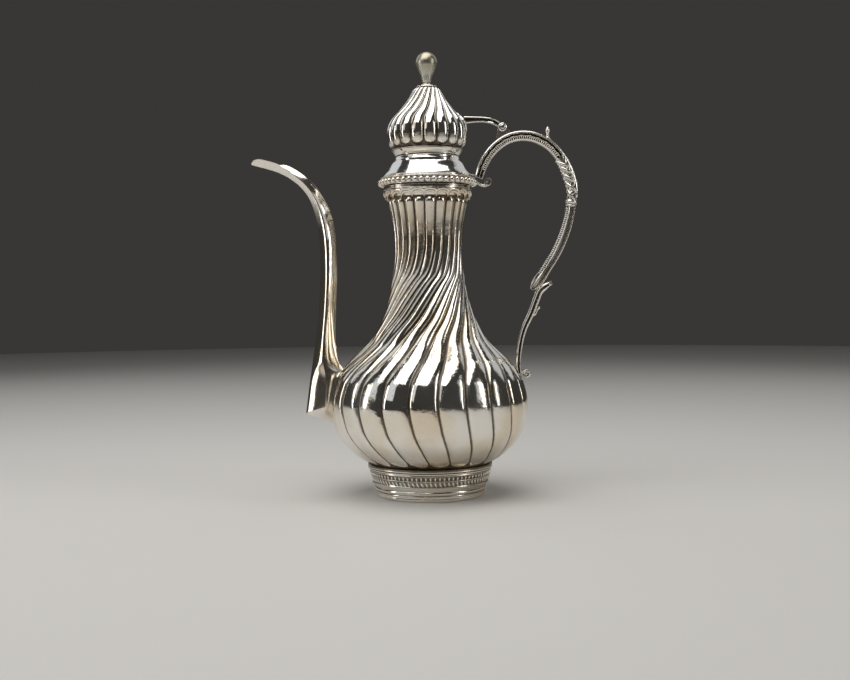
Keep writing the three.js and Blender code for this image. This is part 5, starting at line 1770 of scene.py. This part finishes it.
@dataclass
class Cover:
    """The cover: a flared skirt, a gadrooned onion dome, its cap and the drop-shaped knob."""

    gadroons: Tree
    lobes: int = 18
    phase: float = -5.5
    depth: float = 2.7
    waist_r: float = 23.5
    rim: float = 1.3
    lobe_foot: float = 10.3
    arm_t: float = 4.0
    leaf_w: float = 13.0
    cheek_w: float = 2.0
    skirt: Box = field(default_factory=lambda: Box.of("cover_skirt"))
    dome: Box = field(default_factory=lambda: Box.of("cover_dome"))
    cap: Box = field(default_factory=lambda: Box.of("cover_cap"))
    collar: Box = field(default_factory=lambda: Box.of("knob_collar"))
    knob: Box = field(default_factory=lambda: Box.of("knob"))
    pin: Box = field(default_factory=lambda: Box.of("hinge_pin"))
    lug: Box = field(default_factory=lambda: Box.of("hinge_lug"))

    def __post_init__(self) -> None:
        """Works out the dome's outlines."""
        low, high = self.dome.bottom, self.dome.top
        self.dome_r = self.dome.radius
        self.top_r = 9.4
        self.radius = through([
            *over(BULB, low, high, self.waist_r, self.dome_r),
            *over(ONION, low, high, self.top_r, self.dome_r),
        ])
        self.twist = through(over(DOME_TURN, low, high))
        self.relief = through(over([(0, 0), (0.08, 0), (0.13, 1), (0.6, 1), (1, 0.42)], low, high, 0,
            self.depth))

    def dress_skirt(self, finishes: Finishes) -> None:
        """Builds the plain bright skirt with its rim and the rolled waist."""
        low, high, r = self.skirt.bottom, self.skirt.top, self.skirt.radius
        side = through([(low + self.rim, r - 0.1), *over(SKIRT, low + self.rim, high, self.waist_r, r)])
        heights = np.linspace(low + self.rim + 0.15, high - 0.5, 36)
        outer = [
            (r - 1.2, low), (r - 0.35, low + 0.05), (r, low + 0.4), (r, low + 0.8),
            (r - 0.3, low + self.rim - 0.1),
            (r - 0.75, low + self.rim), *((float(side(z)) - 0.5 * math.exp(-(z - low - self.rim) / 0.8),
            float(z)) for z in heights),
            (self.waist_r, high - 0.3), (self.waist_r - 0.3, high), (self.waist_r - 3, high),
        ]
        inner = [(max(float(side(z)) - 1.2, 22.0), float(z))
            for z in np.linspace(high - 1.2, low + self.rim + 1, 12)]
        outline = [*outer, *inner, (r - 3.6, low + 0.2), (r - 3.4, low), (r - 1.2, low)]
        fit(turned("cover_flared_skirt", outline), finishes.bright, Body.COVER, Slot.BRIGHT, "cover_skirt")

    def dress_dome(self, finishes: Finishes) -> None:
        """Builds the gadrooned dome as a closed shell."""
        low, high, foot = self.dome.bottom, self.dome.top, self.dome.bottom + self.lobe_foot
        blank = Blank("dome", self.lobes)
        blank.row(0.0, low, 0.0, self.phase)
        blank.row(10.0, low, 0.0, self.phase)
        blank.row(19.0, low, 0.0, self.phase)
        blank.row(self.waist_r - 0.9, low, 0.0, self.phase)
        blank.row(self.waist_r - 0.3, low + 0.15, 0.0, self.phase)
        heights = np.concatenate([np.arange(low + 0.5, low + 15, 0.36),
            np.arange(low + 15.2, high - 1.8, 0.72), np.linspace(high - 1.6, high, 9)])
        for z in heights:
            depth = float(self.relief(z))
            radius = float(self.radius(z))
            under = float(smoothstep(foot, foot - 4.2, z)) * depth
            edge = math.sqrt(max(1.6**2 - max(z - high + 1.6, 0) ** 2, 0.0)) - 1.6
            blank.row(radius + under * 0.1 + edge, z, depth * (0.55 if z > high - 0.8 else 1),
                self.twist(z) + self.phase, 0.35)
        end = float(self.twist(high)) + self.phase
        for radius in (self.top_r - 2.2, 5.0, 0.0):
            blank.row(radius, high, 0.0, end)
        made = self.gadroons.bake(
            blank.make(ring=False), Lobes=float(self.lobes), Axis=AXIS_X * MM, Lobe_Foot=foot * MM,
            Foot_Reach=4.0 * MM, Lobe_Head=1.0, Head_Reach=1.0, Unevenness=0.1 * MM,
        )
        made.name = "cover_onion_dome"
        fit(made, finishes.polished, Body.COVER, Slot.SILVER, "cover_dome")

    def dress_cap(self, finishes: Finishes) -> None:
        """Builds the cap and the collar under the knob."""
        low, high, r = self.cap.bottom, self.cap.top, self.cap.radius
        stem = 1.8
        outline = [(stem, low), (r - 0.5, low), (r - 0.1, low + 0.3), (r, low + 0.7), (r - 0.3, high - 0.25),
                   (r - 1.0, high - 0.05), (r * 0.6, high), (stem, high), (stem, low)]
        fit(turned("cover_top_plate", outline, 96), finishes.polished, Body.COVER, Slot.SILVER, "cover_cap")
        low, high, r = self.collar.bottom, self.collar.top, self.collar.radius
        middle = (low + high) / 2
        outline = [(stem, low), (r - 0.5, low),
            *arc((r - (high - low) / 2 + 0.15, middle), (high - low) / 2 - 0.15, -80, 80, 12),
                   (r - 0.6, high), (stem, high), (stem, low)]
        fit(turned("knob_bright_collar", outline, 64), finishes.satin, Body.COVER, Slot.KNOB, "knob_collar")

    def dress_knob(self, finishes: Finishes) -> None:
        """Builds the knob: a slim stem that swells into a drop."""
        low, high, r = self.knob.bottom, self.knob.top, self.knob.radius
        ball = high - r
        outline = [(0.0, low + 7.2), (1.6, low + 7.2), (1.7, low + 0.2), (2.0, low), (2.9, low),
            (3.25, low + 0.25), (3.3, low + 0.7)]
        drop = [(low + 0.7, 3.3), (ball - 12.2, 3.75), (ball - 9.6, 4.4), (ball - 7.2, 5.45),
            (ball - 4.8, 6.55)]
        cone = through([*drop, (ball - r * math.sin(0.35), r * math.cos(0.35))])
        outline += [(float(cone(z)), float(z)) for z in np.linspace(low + 1.1, ball - r * math.sin(0.35), 28)]
        outline += arc((0.0, ball), r, math.degrees(-0.35) + 3, 88, 34)
        fit(turned("cover_drop_knob", [*outline, (0.0, high)], 96, 50), finishes.satin, Body.COVER,
            Slot.KNOB, "knob")

    def dress_arm(self, finishes: Finishes) -> None:
        """Builds the arm: a leaf soldered to the dome, a ribbed bar, and the fork's two cheeks."""
        hx, _, hz = self.pin.middle
        reach = hx - self.dome_r
        route = Line([
            (self.dome_r - 2.6, hz + 5.5), (self.dome_r + 0.22 * reach, hz + 5.9),
            (self.dome_r + 0.5 * reach, hz + 5.6),
            (self.dome_r + 0.74 * reach, hz + 4.2), (self.dome_r + 0.9 * reach, hz + 1.9),
        ])
        t = np.linspace(0, 1, 90)
        gap = (self.lug.high[1] - self.lug.low[1]) + 0.6
        fork = gap + 2 * self.cheek_w
        thick = through([(0, 1.35), (0.4, 1.0), (1, 0.9)])
        wide = through([(0, 5.5), (0.3, 3.7), (0.62, 4.0), (0.85, fork), (1, fork)])
        half = np.array([(-1.0, 0.55), (-0.94, 0.85), (-0.76, 1.0), (-0.5, 0.96), (-0.38, 0.72),
            (-0.15, 0.58),
                         (0.15, 0.58), (0.38, 0.72), (0.5, 0.96), (0.76, 1.0), (0.94, 0.85), (1.0, 0.55)])
        half = np.repeat(half[None], len(t), axis=0)
        half[:, :, 0] *= (self.arm_t * thick(t) / 2)[:, None]
        half[:, :, 1] *= (wide(t) / 2)[:, None]
        bar = loft("arm_bar", bent(route, t, mirrored(half)), 34)
        k = 3.2
        eye = [(0.0, -fork / 2), (k - 0.7, -fork / 2), (k - 0.2, -fork / 2 + 0.35), (k, -fork / 2 + 0.9),
            (k, fork / 2 - 0.9),
               (k - 0.2, fork / 2 - 0.35), (k - 0.7, fork / 2), (0.0, fork / 2)]
        ring = turned("eye", eye, 48)
        lay_at(ring, hx, hz)
        joined = unite(bar, ring)
        slot = np.array([[(hx + a, y, hz + b)
            for a, b in ((-4.6, -8.0), (-4.6, 3.9), (0, 4.2), (12.0, 4.2), (12.0, -8.0))]
                         for y in (-gap / 2, gap / 2)])
        carve(joined, loft("slot", slot), 34)
        bore = turned("bore", [(0.0, -9.0), (1.42, -9.0), (1.42, 9.0), (0.0, 9.0)], 32)
        lay_at(bore, hx, hz)
        carve(joined, bore, 34)
        soften(joined, 0.12, 2)
        leaf_line = Line([(float(self.radius(z)) - 0.7, float(z)) for z in
                          (self.dome.bottom + (self.dome.top - self.dome.bottom) * s
                          for s in (0.36, 0.42, 0.48, 0.54, 0.6, 0.66))])
        u = np.linspace(0, 1, 60)
        spread = through([(0, 0.12), (0.2, 0.75), (0.45, 0.95), (0.62, 0.7), (0.82, 0.5), (1, 0.1)])
        fat = through([(0, 1.2), (0.5, 3.0), (1, 1.0)])
        outline = oval(fat(u), self.leaf_w * spread(u) * (1 + 0.08 * np.abs(np.sin(9 * u))), 28, 0.9)
        vein = np.cos(np.arange(28) * 2 * math.pi / 28 * 6)
        outline[:, :, 0] *= 1 + 0.13 * vein
        leaf = loft("arm_leaf", bent(leaf_line, u, outline), 60)
        fit(join("hinge_arm", [joined, leaf]), finishes.cast, Body.COVER, Slot.DARK, "cover_arm")

    def dress_plain(self, finishes: Finishes) -> None:
        """Dresses the parts that keep the frame's own shape: bezel, stud and nut."""
        for name, finish in (("cover_bezel", finishes.polished), ("knob_stud", finishes.cast),
                ("knob_nut", finishes.cast)):
            part = bpy.data.objects[name]
            for slot in part.material_slots:
                slot.material = finish
            log.info("%s: the frame's own shape, in %s", name, finish.name)

    def dress(self, finishes: Finishes) -> None:
        """Builds and fits the cover's new pieces, and gives the frame's bezel, stud and nut their finishes."""
        self.dress_skirt(finishes)
        self.dress_dome(finishes)
        self.dress_cap(finishes)
        self.dress_knob(finishes)
        self.dress_arm(finishes)
        self.dress_plain(finishes)


def unite(a: bpy.types.Object, b: bpy.types.Object) -> bpy.types.Object:
    """Melts one solid into another, and removes the second."""
    melt = a.modifiers.new("unite", "BOOLEAN")
    melt.operation, melt.solver, melt.object = "UNION", "EXACT", b
    settle(a)
    bpy.data.objects.remove(b)
    return a


# ------------------------------------------------------------------ studio
@dataclass(frozen=True)
class Softbox:
    """A soft rectangular light."""

    name: str
    place: tuple[float, float, float]
    size: tuple[float, float]
    power: float
    colour: tuple[float, float, float] = (1.0, 1.0, 1.0)
    target: tuple[float, float, float] = (0.0, 0.0, 0.15)

    def build(self) -> None:
        """Hangs the light, facing its target."""
        lamp = bpy.data.lights.new(self.name, "AREA")
        lamp.shape, lamp.size, lamp.size_y = "RECTANGLE", *self.size
        lamp.energy, lamp.color = self.power, self.colour
        hung = bpy.data.objects.new(self.name, lamp)
        hung.location = self.place
        hung.rotation_euler = (Vector(self.target) - Vector(self.place)).to_track_quat("-Z", "Y").to_euler()
        hung.visible_camera = False
        bpy.context.scene.collection.objects.link(hung)


@dataclass(frozen=True)
class Studio:
    """The floor, the lights, the dim room and the camera."""

    room: tuple[float, float, float] = (0.040, 0.038, 0.036)
    floor_colour: tuple[float, float, float] = (0.78, 0.765, 0.74)
    floor_r: float = 2.6
    eye_distance: float = 0.855
    eye_height: float = 0.148
    eye_shift: float = -0.003
    pitch: float = 2.16
    roll: float = 0.55
    lens: float = 48.3
    lights: tuple[Softbox, ...] = (
        Softbox("overhead_softbox", (-0.12, -0.22, 1.20), (1.05, 1.55), 11.0, (1.0, 0.985, 0.96)),
        Softbox("left_fill", (-1.15, -0.65, 0.95), (0.9, 0.9), 1.6, (0.94, 0.97, 1.0)),
        Softbox("right_fill", (1.25, -0.55, 0.85), (0.7, 0.9), 0.9, (0.94, 0.97, 1.0)),
        Softbox("back_left_fill", (-0.80, 0.90, 0.90), (1.0, 0.8), 1.5, (0.95, 0.97, 1.0)),
        Softbox("back_right_fill", (0.80, 0.90, 0.90), (1.0, 0.8), 1.2, (0.95, 0.97, 1.0)),
        Softbox("right_strip", (0.95, -0.35, 0.45), (0.16, 0.7), 1.1, (1.0, 0.97, 0.93)),
        Softbox("left_strip", (-1.05, -0.15, 0.35), (0.20, 0.6), 1.1, (1.0, 0.96, 0.92)),
    )

    def build(self) -> None:
        """Builds the studio."""
        world = bpy.data.worlds.new("room")
        world.use_nodes = True
        world.node_tree.nodes["Background"].inputs[0].default_value = (*self.room, 1.0)
        bpy.context.scene.world = world
        for light in self.lights:
            light.build()
        angle = np.arange(96) * 2 * math.pi / 96
        mesh = bpy.data.meshes.new("floor")
        ring = np.stack([np.cos(angle), np.sin(angle), np.zeros(96)], axis=1) * self.floor_r
        mesh.from_pydata(ring.tolist(), [], [tuple(range(96))])
        floor = bpy.data.objects.new("floor", mesh)
        bpy.context.scene.collection.objects.link(floor)
        paper = bpy.data.materials.new("pale_paper")
        paper.use_nodes = True
        shader = paper.node_tree.nodes["Principled BSDF"]
        plug(paper.node_tree, shader,
            {"Base Color": (*self.floor_colour, 1.0), "Roughness": 0.8, "Specular IOR Level": 0.15})
        mesh.materials.append(paper)
        self.aim()
        bpy.context.scene.view_settings.view_transform = "Standard"

    def aim(self) -> None:
        """Sets the camera before the pot, a little above its middle."""
        camera = bpy.data.cameras.new("camera")
        camera.sensor_width, camera.lens, camera.clip_start = 36.0, self.lens, 0.02
        eye = bpy.data.objects.new("camera", camera)
        eye.location = (AXIS_X * MM + self.eye_shift, -self.eye_distance, self.eye_height)
        turn = Matrix.Rotation(math.radians(90 - self.pitch), 4,
            "X") @ Matrix.Rotation(math.radians(-self.roll), 4, "Z")
        eye.rotation_euler = turn.to_euler()
        bpy.context.scene.collection.objects.link(eye)
        bpy.context.scene.camera = eye


def main() -> None:
    """Builds the pot and its studio."""
    logging.basicConfig(level=logging.INFO, format="%(name)s: %(message)s")
    finishes = Finishes.make()
    gadroons, teeth = gadroon_tree(), tooth_tree()
    vessel = Vessel(gadroons)
    vessel.dress(finishes)
    Foot(reed_tree()).dress(finishes)
    Mouth(vessel, ring_tree()).dress(finishes)
    Spout(vessel).dress(finishes)
    Handle(teeth).dress(finishes)
    Cover(gadroons).dress(finishes)
    Studio().build()


if __name__ == "__main__":
    main()
